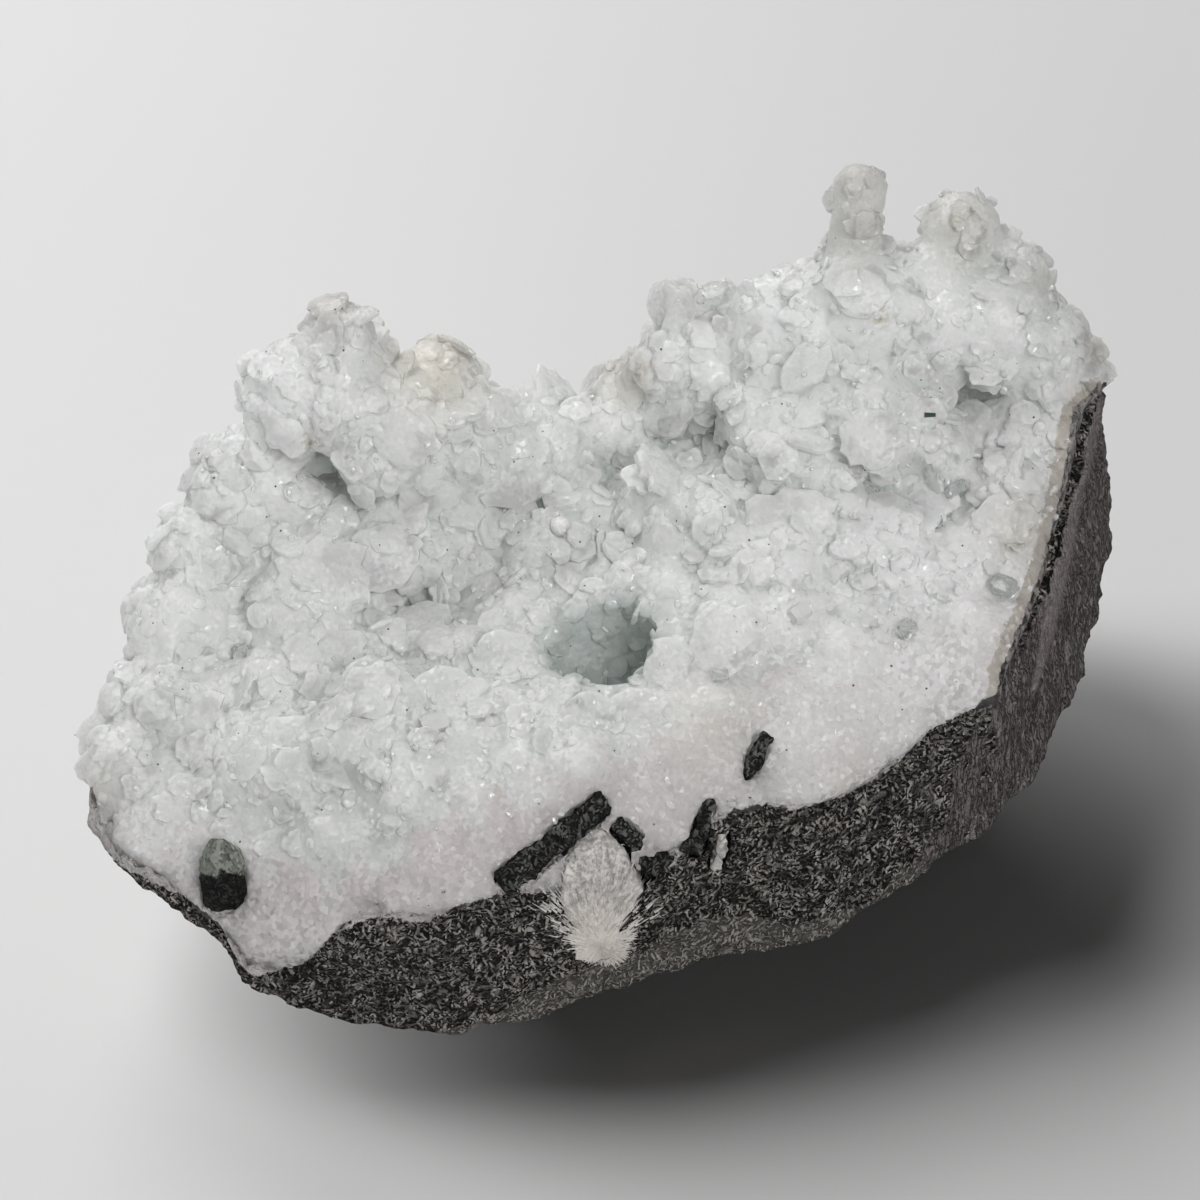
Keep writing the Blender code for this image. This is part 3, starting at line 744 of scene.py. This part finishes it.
def plate_pattern(number, around_count, rings, fullness, waviness, scallops):
    """A rounded plate of radius 1: a ball pressed flat on top, with a wavy, scalloped outline."""
    shape = bmesh.new()
    bmesh.ops.create_uvsphere(shape, u_segments=around_count, v_segments=rings, radius=1.0)
    seed = Vector((number * 7.3, number * 3.1, 0.5))
    for vert in shape.verts:
        flat = Vector((vert.co.x, vert.co.y, 0.0))
        spread = (flat.length**fullness + abs(vert.co.z) ** fullness) ** (-1.0 / fullness)
        vert.co *= spread
        around = flat.normalized() if flat.length > 0.0 else flat
        wave = noise.noise(flat * 1.9 + seed)
        notch = abs(noise.noise(around * 3.6 + seed)) * min(1.0, flat.length)
        outline = 1.0 + waviness * wave + scallops * (0.22 - notch)
        vert.co.x *= outline
        vert.co.y *= outline
        vert.co.z *= 1.0 + 0.4 * noise.noise(flat * 1.5 + 2.0 * seed)
    mesh = bpy.data.meshes.new(f"plate_pattern_{number}")
    shape.to_mesh(mesh)
    shape.free()
    return mesh


def press(shape, pattern, row):
    """Add a copy of a pattern to a shape, its flat side along the row's facing."""
    place, facing, spin, size = row
    turn = facing.to_track_quat("Z", "Y").to_matrix().to_4x4()
    matrix = Matrix.Translation(place) @ turn @ Matrix.Rotation(spin, 4, "Z")
    copy = pattern.copy()
    copy.transform(matrix @ Matrix.Diagonal((*size, 1.0)))
    shape.from_mesh(copy)
    bpy.data.meshes.remove(copy)


LAYER_CELL = 15.0 * MM


def clear_of(row, layer):
    """Whether a plate touches none of a layer's, which are filed by the cell they lie in."""
    place, radius = row[0], max(row[3])
    cell = [int(math.floor(axis / LAYER_CELL)) for axis in place]
    for x in range(cell[0] - 1, cell[0] + 2):
        for y in range(cell[1] - 1, cell[1] + 2):
            for z in range(cell[2] - 1, cell[2] + 2):
                for other, other_radius in layer.get((x, y, z), ()):
                    if (place - other).length < 1.25 * (radius + other_radius):
                        return False
    return True


def in_layers(rows):
    """Sort plates into layers in which none touches another, the biggest first."""
    filed = []
    layers = []
    for pattern, row in sorted(rows, key=lambda entry: -max(entry[1][3])):
        for number, layer in enumerate(filed):
            if clear_of(row, layer):
                break
        else:
            number = len(filed)
            filed.append({})
            layers.append([])
        cell = tuple(int(math.floor(axis / LAYER_CELL)) for axis in row[0])
        filed[number].setdefault(cell, []).append((row[0], max(row[3])))
        layers[number].append((pattern, row))
    return layers


def grown_together(pieces):
    """Join closed pieces two by two until one is left."""
    while len(pieces) > 1:
        left = []
        for one, other in zip(pieces[::2], pieces[1::2]):
            join = one.modifiers.new("grown together", "BOOLEAN")
            join.operation = "UNION"
            join.solver = "MANIFOLD"
            join.object = other
            applied(one)
            bpy.data.objects.remove(other)
            left.append(one)
        if len(pieces) % 2:
            left.append(pieces[-1])
        pieces = left
    return pieces[0]


# The body under the plates, whose edge runs a little way down behind the basalt's face.
rock_shell = BVHTree.FromBMesh(merged_copy("basalt_matrix"))
crust_shape = merged_copy("prehnite_crust")
for vert in crust_shape.verts:
    _, _, _, gap = rock_shell.find_nearest(vert.co)
    if gap < NEAR_BASALT and vert.normal.z < -0.2:
        inward = Vector((-vert.co.x, -vert.co.y, 0.0)).normalized()
        vert.co += inward * UNDER_TUCK
        vert.co.z -= UNDER_BASALT
body = as_object(crust_shape, "crust_body")
hollow_shape = bmesh.new()
bmesh.ops.create_icosphere(hollow_shape, subdivisions=3, radius=1.0)
hollow_place = Matrix.Translation(HOLE_PLACE) @ Matrix.Diagonal((*HOLE_RADII, 1.0))
bmesh.ops.transform(hollow_shape, matrix=hollow_place, verts=hollow_shape.verts)
hollow = as_object(hollow_shape, "hollow")
carve = body.modifiers.new("hole", "BOOLEAN")
carve.solver = "MANIFOLD"
carve.operation = "DIFFERENCE"
carve.object = hollow
applied(body)
bpy.data.objects.remove(hollow)
even_skin(body, BODY_GRAIN)
smoothing = body.modifiers.new("rounded", "SMOOTH")
smoothing.factor = 0.5
smoothing.iterations = 3
applied(body)
relief(body, ((0.45, 3.0), (0.22, 1.2)))
fewer = body.modifiers.new("fewer faces", "DECIMATE")
fewer.ratio = BODY_TRIANGLES / (2.0 * len(body.data.polygons))
applied(body)

body_points = np.array([vert.co for vert in body.data.vertices])
body_faces = np.array([face.vertices[:3] for face in body.data.polygons])
corners = body_points[body_faces]
across = np.cross(corners[:, 1] - corners[:, 0], corners[:, 2] - corners[:, 0])
areas = np.linalg.norm(across, axis=1)
normals = across / areas[:, None]
centres = corners.mean(axis=1)
face_px, face_py = to_pixels(centres)
base_line = np.array(BASE_LINE)
above_line = np.interp(face_px, base_line[:, 0], base_line[:, 1]) - face_py
on_right = (normals[:, 0] > 0.5) & (centres[:, 0] > 36.0 * MM) & (centres[:, 2] < 43.0 * MM)
on_front = (above_line < 12.0) & (normals[:, 1] < 0.3)
side_line = np.array(SIDE_LINE)


def past_side(px, py, points):
    """How many pixels points lie right of the crust's right edge, on the side of the specimen."""
    beyond = px - np.interp(py, side_line[:, 0], side_line[:, 1])
    outside = (py < side_line[0, 0]) | (points[:, 0] < 30.0 * MM)
    return np.where(outside, -100.0, beyond)


on_side = past_side(face_px, face_py, centres) > 4.0
underneath = normals[:, 2] < -0.55
bare = on_right | on_front | on_side | underneath
chances = np.where(bare, 0.0, areas)
picker = np.random.default_rng(7)
chance = random.Random(5)
UPWARD = Vector((-0.05, -0.45, 0.89))
KNOB_HEIGHT = 49.0 * MM
TO_CAMERA = Vector((0.0, -0.707, 0.707))


def scattered_rows(count, radii, power, thickness, lean, stand, patterns):
    """Rows of plates, scattered evenly over the body where it isn't bare."""
    rows = []
    picked = picker.choice(len(chances), size=count, p=chances / chances.sum())
    for face in picked:
        u, v = sorted((chance.random(), chance.random()))
        a, b, c = corners[face]
        place = Vector(a * u + b * (v - u) + c * (1.0 - v))
        normal = Vector(normals[face])
        radius = radii[0] + (radii[1] - radii[0]) * chance.random() ** power
        radius *= 0.35 + 0.65 * min(1.0, max(0.0, above_line[face]) / 130.0)
        from_hole = place - HOLE_PLACE
        depth = max(abs(from_hole[axis]) / HOLE_RADII[axis] for axis in range(3))
        if depth < 1.15:
            radius = min(radius, 1.5)
        if place.z > KNOB_HEIGHT:
            if radius < 0.8:
                continue
            radius *= 0.7
        tilt = Vector([chance.gauss(0.0, lean) for _ in range(3)])
        facing = (0.6 * normal + 0.4 * UPWARD + tilt).normalized()
        place += normal * radius * chance.uniform(*stand) * MM
        squash = chance.uniform(*thickness)
        size = Vector((radius, radius * chance.uniform(0.7, 1.0), radius * squash)) * MM
        spin = chance.uniform(0.0, 2.0 * math.pi)
        rows.append((chance.choice(patterns), (place, facing, spin, size)))
    return rows


# The biggest plates, by the pixel each one's middle shows at: half sizes and thickness in
# millimetres, turn in degrees, and how far it faces the camera rather than straight up.
HERO_PLATES = (
    (322, 581, 5.2, 4.6, 0.9, 0, 0.75),
    (381, 560, 3.4, 3.3, 0.6, 20, 0.8),
    (382, 610, 2.2, 2.0, 0.5, 0, 0.7),
    (328, 690, 2.6, 2.0, 0.5, 0, 0.6),
    (342, 652, 2.6, 2.2, 0.6, 30, 0.6),
    (290, 742, 3.2, 2.5, 0.7, 10, 0.6),
    (352, 742, 2.6, 2.0, 0.6, 60, 0.6),
    (505, 655, 3.2, 2.6, 0.6, 10, 0.6),
    (668, 668, 3.2, 2.4, 0.7, 70, 0.6),
    (640, 712, 3.2, 2.2, 0.7, 0, 0.5),
    (588, 716, 2.8, 2.2, 0.6, 0, 0.6),
    (870, 440, 3.4, 3.0, 0.7, 0, 0.7),
    (986, 368, 2.4, 2.0, 0.5, 0, 0.7),
    (726, 640, 4.2, 3.4, 0.8, 40, 0.5),
    (790, 520, 4.6, 3.6, 0.9, 15, 0.6),
    (450, 700, 4.0, 3.2, 0.8, 0, 0.5),
    (190, 720, 4.0, 3.4, 0.8, 0, 0.5),
    (510, 480, 4.2, 3.2, 0.8, 0, 0.6),
    (1005, 520, 3.0, 2.6, 0.6, 0, 0.6),
)
body_tree = BVHTree.FromObject(body, bpy.context.evaluated_depsgraph_get())
big_patterns = [plate_pattern(number, 22, 8, 3.0, 0.16, 0.5) for number in range(10)]
plate_patterns = [plate_pattern(number, 16, 6, 3.0, 0.16, 0.5) for number in range(10)]
lobe_patterns = [plate_pattern(number + 10, 10, 5, 2.4, 0.18, 0.3) for number in range(8)]
plates = []
for px, py, wide, deep, thick, turn, facing_share in HERO_PLATES:
    place, _, _, _ = body_tree.ray_cast(CAMERA_PLACE, sight(px, py))
    if place is None:
        print("no body under", px, py)
        continue
    facing = (TO_CAMERA * facing_share + UPWARD * (1.0 - facing_share)).normalized()
    size = Vector((wide, deep, thick)) * MM
    row = (place + facing * 0.4 * MM, facing, math.radians(turn), size)
    plates.append((chance.choice(big_patterns), row))
plates += scattered_rows(170, (2.2, 3.8), 1.5, (0.14, 0.20), 0.24, (0.02, 0.12), big_patterns)
plates += scattered_rows(900, (1.2, 2.2), 1.3, (0.17, 0.28), 0.26, (0.0, 0.16), plate_patterns)
plates += scattered_rows(1500, (0.6, 1.2), 1.2, (0.22, 0.38), 0.28, (-0.08, 0.18), lobe_patterns)
plates += scattered_rows(250, (0.3, 0.6), 1.0, (0.35, 0.6), 0.35, (-0.1, 0.4), lobe_patterns)
pieces = [body]
for layer in in_layers(plates):
    layer_shape = bmesh.new()
    for pattern, row in layer:
        press(layer_shape, pattern, row)
    pieces.append(as_object(layer_shape, "layer"))
pieces.sort(key=lambda piece: len(piece.data.polygons))
crust = grown_together(pieces)
crust.data.calc_loop_triangles()
fewer = crust.modifiers.new("fewer faces", "DECIMATE")
fewer.ratio = min(1.0, CRUST_TRIANGLES / len(crust.data.loop_triangles))
applied(crust)
crust.name = "prehnite"
crust.data.name = "prehnite"
flap_points = point_table(crust)
flap_px, flap_py = to_pixels(flap_points)
overhang = np.maximum(past_side(flap_px, flap_py, flap_points) - 4.0, 0.0)
flap_points[:, 0] -= overhang * PIXEL * FLAP_SHARE
crust.data.vertices.foreach_set("co", flap_points.ravel())
crust.data.shade_smooth()
crust.data.set_sharp_from_angle(angle=math.radians(34.0))
crust.data.calc_loop_triangles()
print("crust triangles", len(crust.data.loop_triangles))

points = point_table(crust)
point_px, point_py = to_pixels(points)
over_line = np.interp(point_px, base_line[:, 0], base_line[:, 1]) - point_py
add_values(crust, "massive", 0.5 - over_line / 80.0)
add_values(crust, "stains", spots(points, STAIN_SPOTS))
add_values(crust, "cream", spots(points, CREAM_SPOTS))
add_values(crust, "grey", spots(points, GREY_AND_SHADE_SPOTS))
add_values(crust, "knobs", spots(points, KNOB_SPOTS))
add_values(crust, "bright", spots(points, PAINTED_LIGHT_SPOTS))
add_values(crust, "mauve", spots(points, MAUVE_AND_SHADE_SPOTS))
add_values(crust, "rocky", np.where(point_px < 1000.0, 0.5 + below_boundary(points) / 12.0, 0.0))
on_strip = (point_py < 700.0) & (point_px > 985.0)
strip_share = (past_side(point_px, point_py, points) + STRIP_WIDTH) / 6.0
add_values(crust, "strip", np.where(on_strip, strip_share, 0.0))
add_values(crust, "side", 0.5 + past_side(point_px, point_py, points) / 8.0)
inside_hole = np.linalg.norm((points - np.array(HOLE_PLACE)) / np.array(HOLE_RADII), axis=1)
# Painted shade on the points in the hole below 37 mm, full inside it and fading just outside.
add_values(crust, "hollow", (1.3 - inside_hole) / 0.3 * (points[:, 2] < 0.037))
crust_tree = BVHTree.FromObject(crust, bpy.context.evaluated_depsgraph_get())

# Where the white base covers the basalt's rim, the basalt stands back behind it.
for number in np.flatnonzero(in_reach & (rock_below < 12.0)):
    vert = rock.data.vertices[int(number)]
    out = vert.co - CAMERA_PLACE
    place, _, _, distance = crust_tree.ray_cast(CAMERA_PLACE, out.normalized())
    if place is None or not 0.0 < distance - out.length < RIM_REACH:
        continue
    ragged = 8.0 * noise.noise(vert.co / (1.3 * MM))
    share = min(1.0, max(0.0, (4.0 - rock_below[number] + ragged) / 8.0))
    vert.co += out.normalized() * (distance - out.length + 0.3 * MM) * share
rock.data.update()
rock_tree = BVHTree.FromObject(rock, bpy.context.evaluated_depsgraph_get())

# How far each point stands out over its neighbours, for a painted highlight on rims and painted shade in creases.
ends = np.empty(len(crust.data.edges) * 2, np.int32)
crust.data.edges.foreach_get("vertices", ends)
ends = ends.reshape(-1, 2)
crust_normals = point_table(crust, "normal")
along = points[ends[:, 0]] - points[ends[:, 1]]
along /= np.maximum(np.linalg.norm(along, axis=1), 1e-9)[:, None]
stands_out = np.zeros(len(points))
meetings = np.zeros(len(points))
for column, sign in ((0, 1.0), (1, -1.0)):
    rise = (crust_normals[ends[:, column]] * along).sum(axis=1) * sign
    np.add.at(stands_out, ends[:, column], rise)
    np.add.at(meetings, ends[:, column], 1.0)
stands_out /= np.maximum(meetings, 1.0)
add_values(crust, "rims", 0.5 + stands_out)

prehnite = Look("prehnite", AQUA, 0.42)
prehnite.set("Subsurface Weight", 0.5)
prehnite.set("Subsurface Radius", (1.0, 1.1, 1.05))
prehnite.set("Subsurface Scale", 24.0 * MM)
prehnite.set("IOR", 1.5)
edge = prehnite.grain(1.1, detail=2.0)
broad = prehnite.grain(0.32, detail=0.0)
massive_edge = prehnite.math("MULTIPLY_ADD", broad, 1.2, prehnite.attribute("massive"))
massive_share = prehnite.ramp(massive_edge, 0.9, 1.4)
cloudy = prehnite.ramp(broad, 0.4, 0.7, 0.0, 0.7)
aqua = prehnite.blend(cloudy, AQUA, CLOUD)
# Grey lobes, with painted shade in the recesses under the ridges.
aqua = prehnite.blend(prehnite.attribute("grey"), aqua, GREY_AND_SHADE)
# Painted light on the shaded slopes.
aqua = prehnite.blend(prehnite.attribute("bright"), aqua, PAINTED_LIGHT_AQUA)
# Painted shade in the creases and a painted highlight on the rims.
rims = prehnite.attribute("rims")
aqua = prehnite.blend(prehnite.ramp(rims, 0.44, 0.26), aqua, CREASE_PAINTED_SHADE)
aqua = prehnite.blend(prehnite.ramp(rims, 0.56, 0.74, 0.0, 0.45), aqua, RIM_PAINTED_HIGHLIGHT)
aqua = prehnite.blend(prehnite.attribute("knobs"), aqua, KNOB_BEIGE)
mottled = prehnite.ramp(edge, 0.42, 0.64, 0.0, 0.4)
# Mauve tint, mottled at random, with painted shade on the front of the white base.
mauve = prehnite.math("MAXIMUM", prehnite.attribute("mauve"), mottled)
sugar = prehnite.effect(CRYSTAL_GRAINS, **{"Per mm": 2.1})
white = prehnite.blend(mauve, MASSIVE_WHITE, MAUVE_TINT_AND_SHADE)
# Painted light on the white base as well.
white = prehnite.blend(prehnite.attribute("bright"), white, PAINTED_LIGHT_WHITE)
white = prehnite.blend(prehnite.ramp(sugar["Pick"], 0.2, 0.9, 0.0, 0.4), white, GRAIN_DIM)
colour = prehnite.blend(massive_share, aqua, white)
colour = prehnite.blend(prehnite.attribute("cream"), colour, CREAM)
# Painted shade in the hole.
colour = prehnite.blend(prehnite.attribute("hollow"), colour, HOLLOW_PAINTED_SHADE)
blotch = prehnite.ramp(edge, 0.44, 0.56)
stain_share = prehnite.math("MULTIPLY", prehnite.attribute("stains"), blotch)
colour = prehnite.blend(stain_share, colour, STAIN)
side_colour = prehnite.blend(prehnite.ramp(edge, 0.40, 0.60), SIDE_DARK, VEIN_PALE)
strip_edge = prehnite.math("MULTIPLY_ADD", edge, 1.2, prehnite.attribute("strip"))
colour = prehnite.blend(prehnite.ramp(strip_edge, 0.9, 1.2), colour, STRIP_CREAM)
torn = prehnite.math("ADD", prehnite.attribute("side"), edge)
colour = prehnite.blend(prehnite.ramp(torn, 0.95, 1.1), colour, side_colour)
speck = prehnite.ramp(sugar["Reach"], 0.20, 0.30, 1.0, 0.0)
chosen = prehnite.ramp(sugar["Pick"], 0.006, 0.009, 1.0, 0.0)
speck_share = prehnite.math("MULTIPLY", speck, chosen)
colour = prehnite.blend(speck_share, colour, SPECK)
dark_edge = prehnite.math("ADD", prehnite.attribute("rocky"), edge)
colour = prehnite.blend(prehnite.ramp(dark_edge, 0.97, 1.12), colour, SEAM_DARK)
prehnite.feed(colour, "Base Color")
grit_share = prehnite.math("MULTIPLY_ADD", prehnite.attribute("massive"), 0.5, 0.2)
grit = prehnite.math("MULTIPLY", sugar["Tilt"], grit_share)
prehnite.feed(prehnite.ramp(sugar["Pick"], 0.90, 0.93, 0.42, 0.08), "Roughness")
uneven = prehnite.grain(1.0, detail=1.0, rough=0.65)
prehnite.bumps((prehnite.math("ADD", prehnite.math("MULTIPLY", uneven, 0.6), grit), 0.6, 0.7))
wear(crust, prehnite.material, "prehnite_crust")


# The splinters: four thin slivers of the same basalt, torn loose and closed in by the white base
# while it grew, darker and finer than the matrix.
SLIVER_GRAIN = 0.15 * MM
SLIVER_RELIEF = ((0.5, 2.2), (0.32, 0.8), (0.14, 0.3))


def rough_copy(node, grain, rows):
    """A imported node's shape with an even skin and a rough surface."""
    piece = as_object(merged_copy(node), node + "_look")
    even_skin(piece, grain)
    relief(piece, rows)
    piece.data.shade_smooth()
    return piece


sliver, colour, laths = rock_look("basalt_sliver", (0.007, 0.007, 0.007), (0.15, 0.15, 0.14))
sliver.feed(colour, "Base Color")
sliver.bumps((laths, 0.12, 0.8), (sliver.grain(4.0), 0.08, 0.7))
for node_name in [f"basalt_splinter_{number}" for number in range(1, 5)]:
    piece = rough_copy(node_name, SLIVER_GRAIN, SLIVER_RELIEF)
    wear(piece, sliver.material, node_name)


# The chip: a rounded pebble of altered basalt caught in the white base at the left corner, with
# a grey-green grainy upper half and a black broken lower half.
CHIP_SPLIT = 874.0
CHIP_RELIEF = ((0.35, 2.2), (0.22, 0.8), (0.08, 0.3))
chip = rough_copy("basalt_chip", 0.18 * MM, CHIP_RELIEF)
chip_points = point_table(chip)
_, chip_py = to_pixels(chip_points)
add_values(chip, "upper", 0.5 + (CHIP_SPLIT - chip_py) / 30.0)
altered, ground, laths = rock_look("altered_basalt", (0.007, 0.007, 0.007), (0.05, 0.052, 0.048))
grains = altered.effect(CRYSTAL_GRAINS, **{"Per mm": 2.6})
green = altered.blend(grains["Pick"], (0.10, 0.11, 0.095), (0.34, 0.355, 0.315))
upper_edge = altered.math("ADD", altered.attribute("upper"), altered.grain(0.9, detail=3.0))
colour = altered.blend(altered.ramp(upper_edge, 0.9, 1.1), ground, green)
altered.feed(colour, "Base Color")
altered.bumps((grains["Tilt"], 0.4, 0.6), (altered.grain(3.0), 0.1, 0.6))
wear(chip, altered.material, "basalt_chip")


# The fibrous patch: a spray of cream to grey-white fibres that fills a break in the basalt, the
# fibres spread from a bright heart low on the patch.
FIBRE_HEART = (600, 945)
patch = rough_copy("fibrous_patch", 0.25 * MM, ((0.35, 2.0), (0.2, 0.7)))
patch_tree = BVHTree.FromObject(patch, bpy.context.evaluated_depsgraph_get())
heart, _, _, _ = patch_tree.ray_cast(CAMERA_PLACE, sight(*FIBRE_HEART))
patch_points = point_table(patch)
add_values(patch, "heart", spots(patch_points, ((*FIBRE_HEART, 42, 1.0),)))
fibres = Look("fibrous_mineral", (0.62, 0.58, 0.54), 0.6)
from_heart = fibres.vector("SUBTRACT", fibres.places, tuple(heart))
spray = fibres.vector("NORMALIZE", from_heart)
fibres.places = fibres.vector("ADD", fibres.vector("MULTIPLY", spray, (0.009, 0.009, 0.009)), from_heart)
threads = fibres.grain(1.1, detail=5.0, rough=0.7)
thread_share = fibres.ramp(threads, 0.36, 0.62)
pale = fibres.blend(fibres.attribute("heart"), (0.74, 0.71, 0.68), (0.97, 0.92, 0.87))
dim = fibres.blend(fibres.attribute("heart"), (0.34, 0.325, 0.31), (0.80, 0.72, 0.65))
fibres.feed(fibres.blend(thread_share, dim, pale), "Base Color")
fibres.set("Subsurface Weight", 0.3)
fibres.set("Subsurface Radius", (1.0, 0.95, 0.9))
fibres.set("Subsurface Scale", 0.6 * MM)
fibres.bumps((threads, 0.3, 0.7),)
wear(patch, fibres.material, "fibrous_patch")


# The spray: single fibres that stand out of the patch and over its edges, all joined.
SPRAY_COUNT = 900
# How far the fibres reach from the heart: angle from the right, counter-clockwise, and pixels.
SPRAY_REACH = (
    (0, 36),
    (28, 44),
    (45, 72),
    (60, 92),
    (86, 107),
    (110, 105),
    (135, 94),
    (150, 60),
    (180, 30),
    (225, 24),
    (270, 20),
    (315, 28),
    (360, 36),
)
SPRAY_LONG = (7.0, 17.0)
SPRAY_HALF_WIDTH = (0.08, 0.2)
front_trees = (crust_tree, rock_tree, patch_tree)


def surface_at(px, py):
    """The nearest point of the specimen that shows at a pixel."""
    hits = [tree.ray_cast(CAMERA_PLACE, sight(px, py)) for tree in front_trees]
    hits = [hit for hit in hits if hit[0] is not None]
    return min(hits, key=lambda hit: hit[3])[0] if hits else None


reach_table = np.array(SPRAY_REACH, float)
spray_shape = bmesh.new()
fan = random.Random(3)
for _ in range(SPRAY_COUNT):
    angle = fan.uniform(0.0, 360.0)
    reach = np.interp(angle, reach_table[:, 0], reach_table[:, 1])
    long = fan.uniform(*SPRAY_LONG)
    outer = max(long, reach * math.sqrt(fan.uniform(0.05, 1.0)))
    swing = math.radians(angle + fan.gauss(0.0, 8.0))
    ends = []
    for distance in (outer - long, outer):
        px = FIBRE_HEART[0] + distance * math.cos(swing)
        py = FIBRE_HEART[1] - distance * math.sin(swing)
        ends.append(surface_at(px, py))
    if None in ends or (ends[1] - ends[0]).length > 6.0 * MM:
        continue
    along = ends[1] - ends[0]
    width = fan.uniform(*SPRAY_HALF_WIDTH) * MM
    turn = along.to_track_quat("Z", "Y").to_matrix().to_4x4()
    matrix = Matrix.Translation((ends[0] + ends[1]) / 2.0) @ turn
    bmesh.ops.create_cone(
        spray_shape,
        cap_ends=True,
        segments=4,
        radius1=width,
        radius2=width * 0.3,
        depth=along.length,
        matrix=matrix,
    )
spray = as_object(spray_shape, "fibre_spray")
add_values(spray, "heart", spots(point_table(spray), ((*FIBRE_HEART, 42, 1.0),)))
spray.data.materials.append(fibres.material)
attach(spray, "root")


# The veinlet: a thin white mineral seam that runs from the white base down into the basalt.
veinlet = rough_copy("white_veinlet", 0.13 * MM, ((0.6, 1.6), (0.3, 0.5)))
vein = Look("white_vein", (0.62, 0.60, 0.575), 0.6)
grains = vein.effect(CRYSTAL_GRAINS, **{"Per mm": 2.8})
vein.feed(vein.blend(grains["Pick"], (0.30, 0.285, 0.27), (0.70, 0.68, 0.65)), "Base Color")
vein.bumps((grains["Tilt"], 0.4, 0.6), (vein.grain(2.0), 0.15, 0.5))
wear(veinlet, vein.material, "white_veinlet")


# The apophyllite: small blocky glass-clear crystals seated on the crust, two of them clouded
# white by flaws, with a druse of far smaller ones that glint all over the crust.
CLOUDED = ("apophyllite_1", "apophyllite_6")
DRUSE_COUNT = 300
DRUSE_HALF = (0.16, 0.42)


def crystal_look(name, colour, clearness):
    look = Look(name, colour, 0.06)
    look.set("Transmission Weight", clearness)
    look.set("IOR", 1.535)
    flaws = look.effect(CRYSTAL_GRAINS, **{"Per mm": 0.9})
    look.bumps((flaws["Tilt"], 0.25, 0.5),)
    return look.material


clear_crystal = crystal_look("apophyllite_clear", (0.96, 0.975, 0.97), 0.8)
white_crystal = crystal_look("apophyllite_clouded", (0.93, 0.925, 0.92), 0.35)
for number in range(1, 10):
    node = frame["nodes"][f"apophyllite_{number}"]
    node.data.materials.clear()
    clouded = node.name in CLOUDED
    node.data.materials.append(white_crystal if clouded else clear_crystal)

druse_shape = bmesh.new()
spread = random.Random(11)
for _ in range(DRUSE_COUNT):
    px = spread.uniform(120, 1060)
    py = spread.uniform(260, 840)
    place, normal, _, _ = crust_tree.ray_cast(CAMERA_PLACE, sight(px, py))
    if place is None:
        continue
    half = spread.uniform(*DRUSE_HALF) * MM
    stretch = Matrix.Diagonal((half, half * spread.uniform(0.5, 1.0), half * 1.4, 1.0))
    turn = Matrix.Rotation(spread.uniform(0.0, math.pi), 4, normal)
    tilt = Vector([spread.gauss(0.0, 0.6) for _ in range(3)])
    stand = (normal + tilt).to_track_quat("Z", "Y").to_matrix().to_4x4()
    matrix = Matrix.Translation(place + normal * half * 0.3) @ turn @ stand @ stretch
    bmesh.ops.create_icosphere(druse_shape, subdivisions=1, radius=1.0, matrix=matrix)
druse = as_object(druse_shape, "apophyllite_druse")
druse.data.materials.append(crystal_look("apophyllite_druse", (0.97, 0.975, 0.97), 0.4))
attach(druse, "root")


# The spherules: white satin balls of a fine radiating mineral, seated singly on the crust.
ball = Look("white_spherule", (0.86, 0.85, 0.83), 0.5)
ball.set("Subsurface Weight", 0.6)
ball.set("Subsurface Radius", (1.0, 1.0, 0.95))
ball.set("Subsurface Scale", 1.5 * MM)
grains = ball.effect(CRYSTAL_GRAINS, **{"Per mm": 3.0})
ball.feed(ball.blend(grains["Pick"], (0.76, 0.74, 0.70), (0.90, 0.89, 0.88)), "Base Color")
ball.bumps((grains["Tilt"], 0.3, 0.5),)
for number in range(1, 7):
    node = frame["nodes"][f"white_spherule_{number}"]
    node.data.materials.clear()
    node.data.materials.append(ball.material)


# The needle: one short dark-green prism lying in a dip of the right-hand knobs.
NEEDLE_PIXEL = (930, 415)
NEEDLE_LONG = 1.1 * MM
NEEDLE_THICK = 0.26 * MM
needle_shape = bmesh.new()
place, _, _, _ = crust_tree.ray_cast(CAMERA_PLACE, sight(*NEEDLE_PIXEL))
matrix = Matrix.Translation(place) @ Matrix.Rotation(math.radians(90.0), 4, "Y")
bmesh.ops.create_cone(
    needle_shape,
    cap_ends=True,
    segments=6,
    radius1=NEEDLE_THICK,
    radius2=NEEDLE_THICK * 0.8,
    depth=NEEDLE_LONG,
    matrix=matrix,
)
needle = as_object(needle_shape, "green_needle")
needle_look = Look("green_needle", (0.03, 0.06, 0.035), 0.4)
needle_look.bumps((needle_look.grain(3.0), 0.05, 0.5),)
needle.data.materials.append(needle_look.material)
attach(needle, "root")

for piece in bpy.context.scene.objects:
    if piece.type == "MESH" and piece != floor:
        specimen.objects.link(piece)
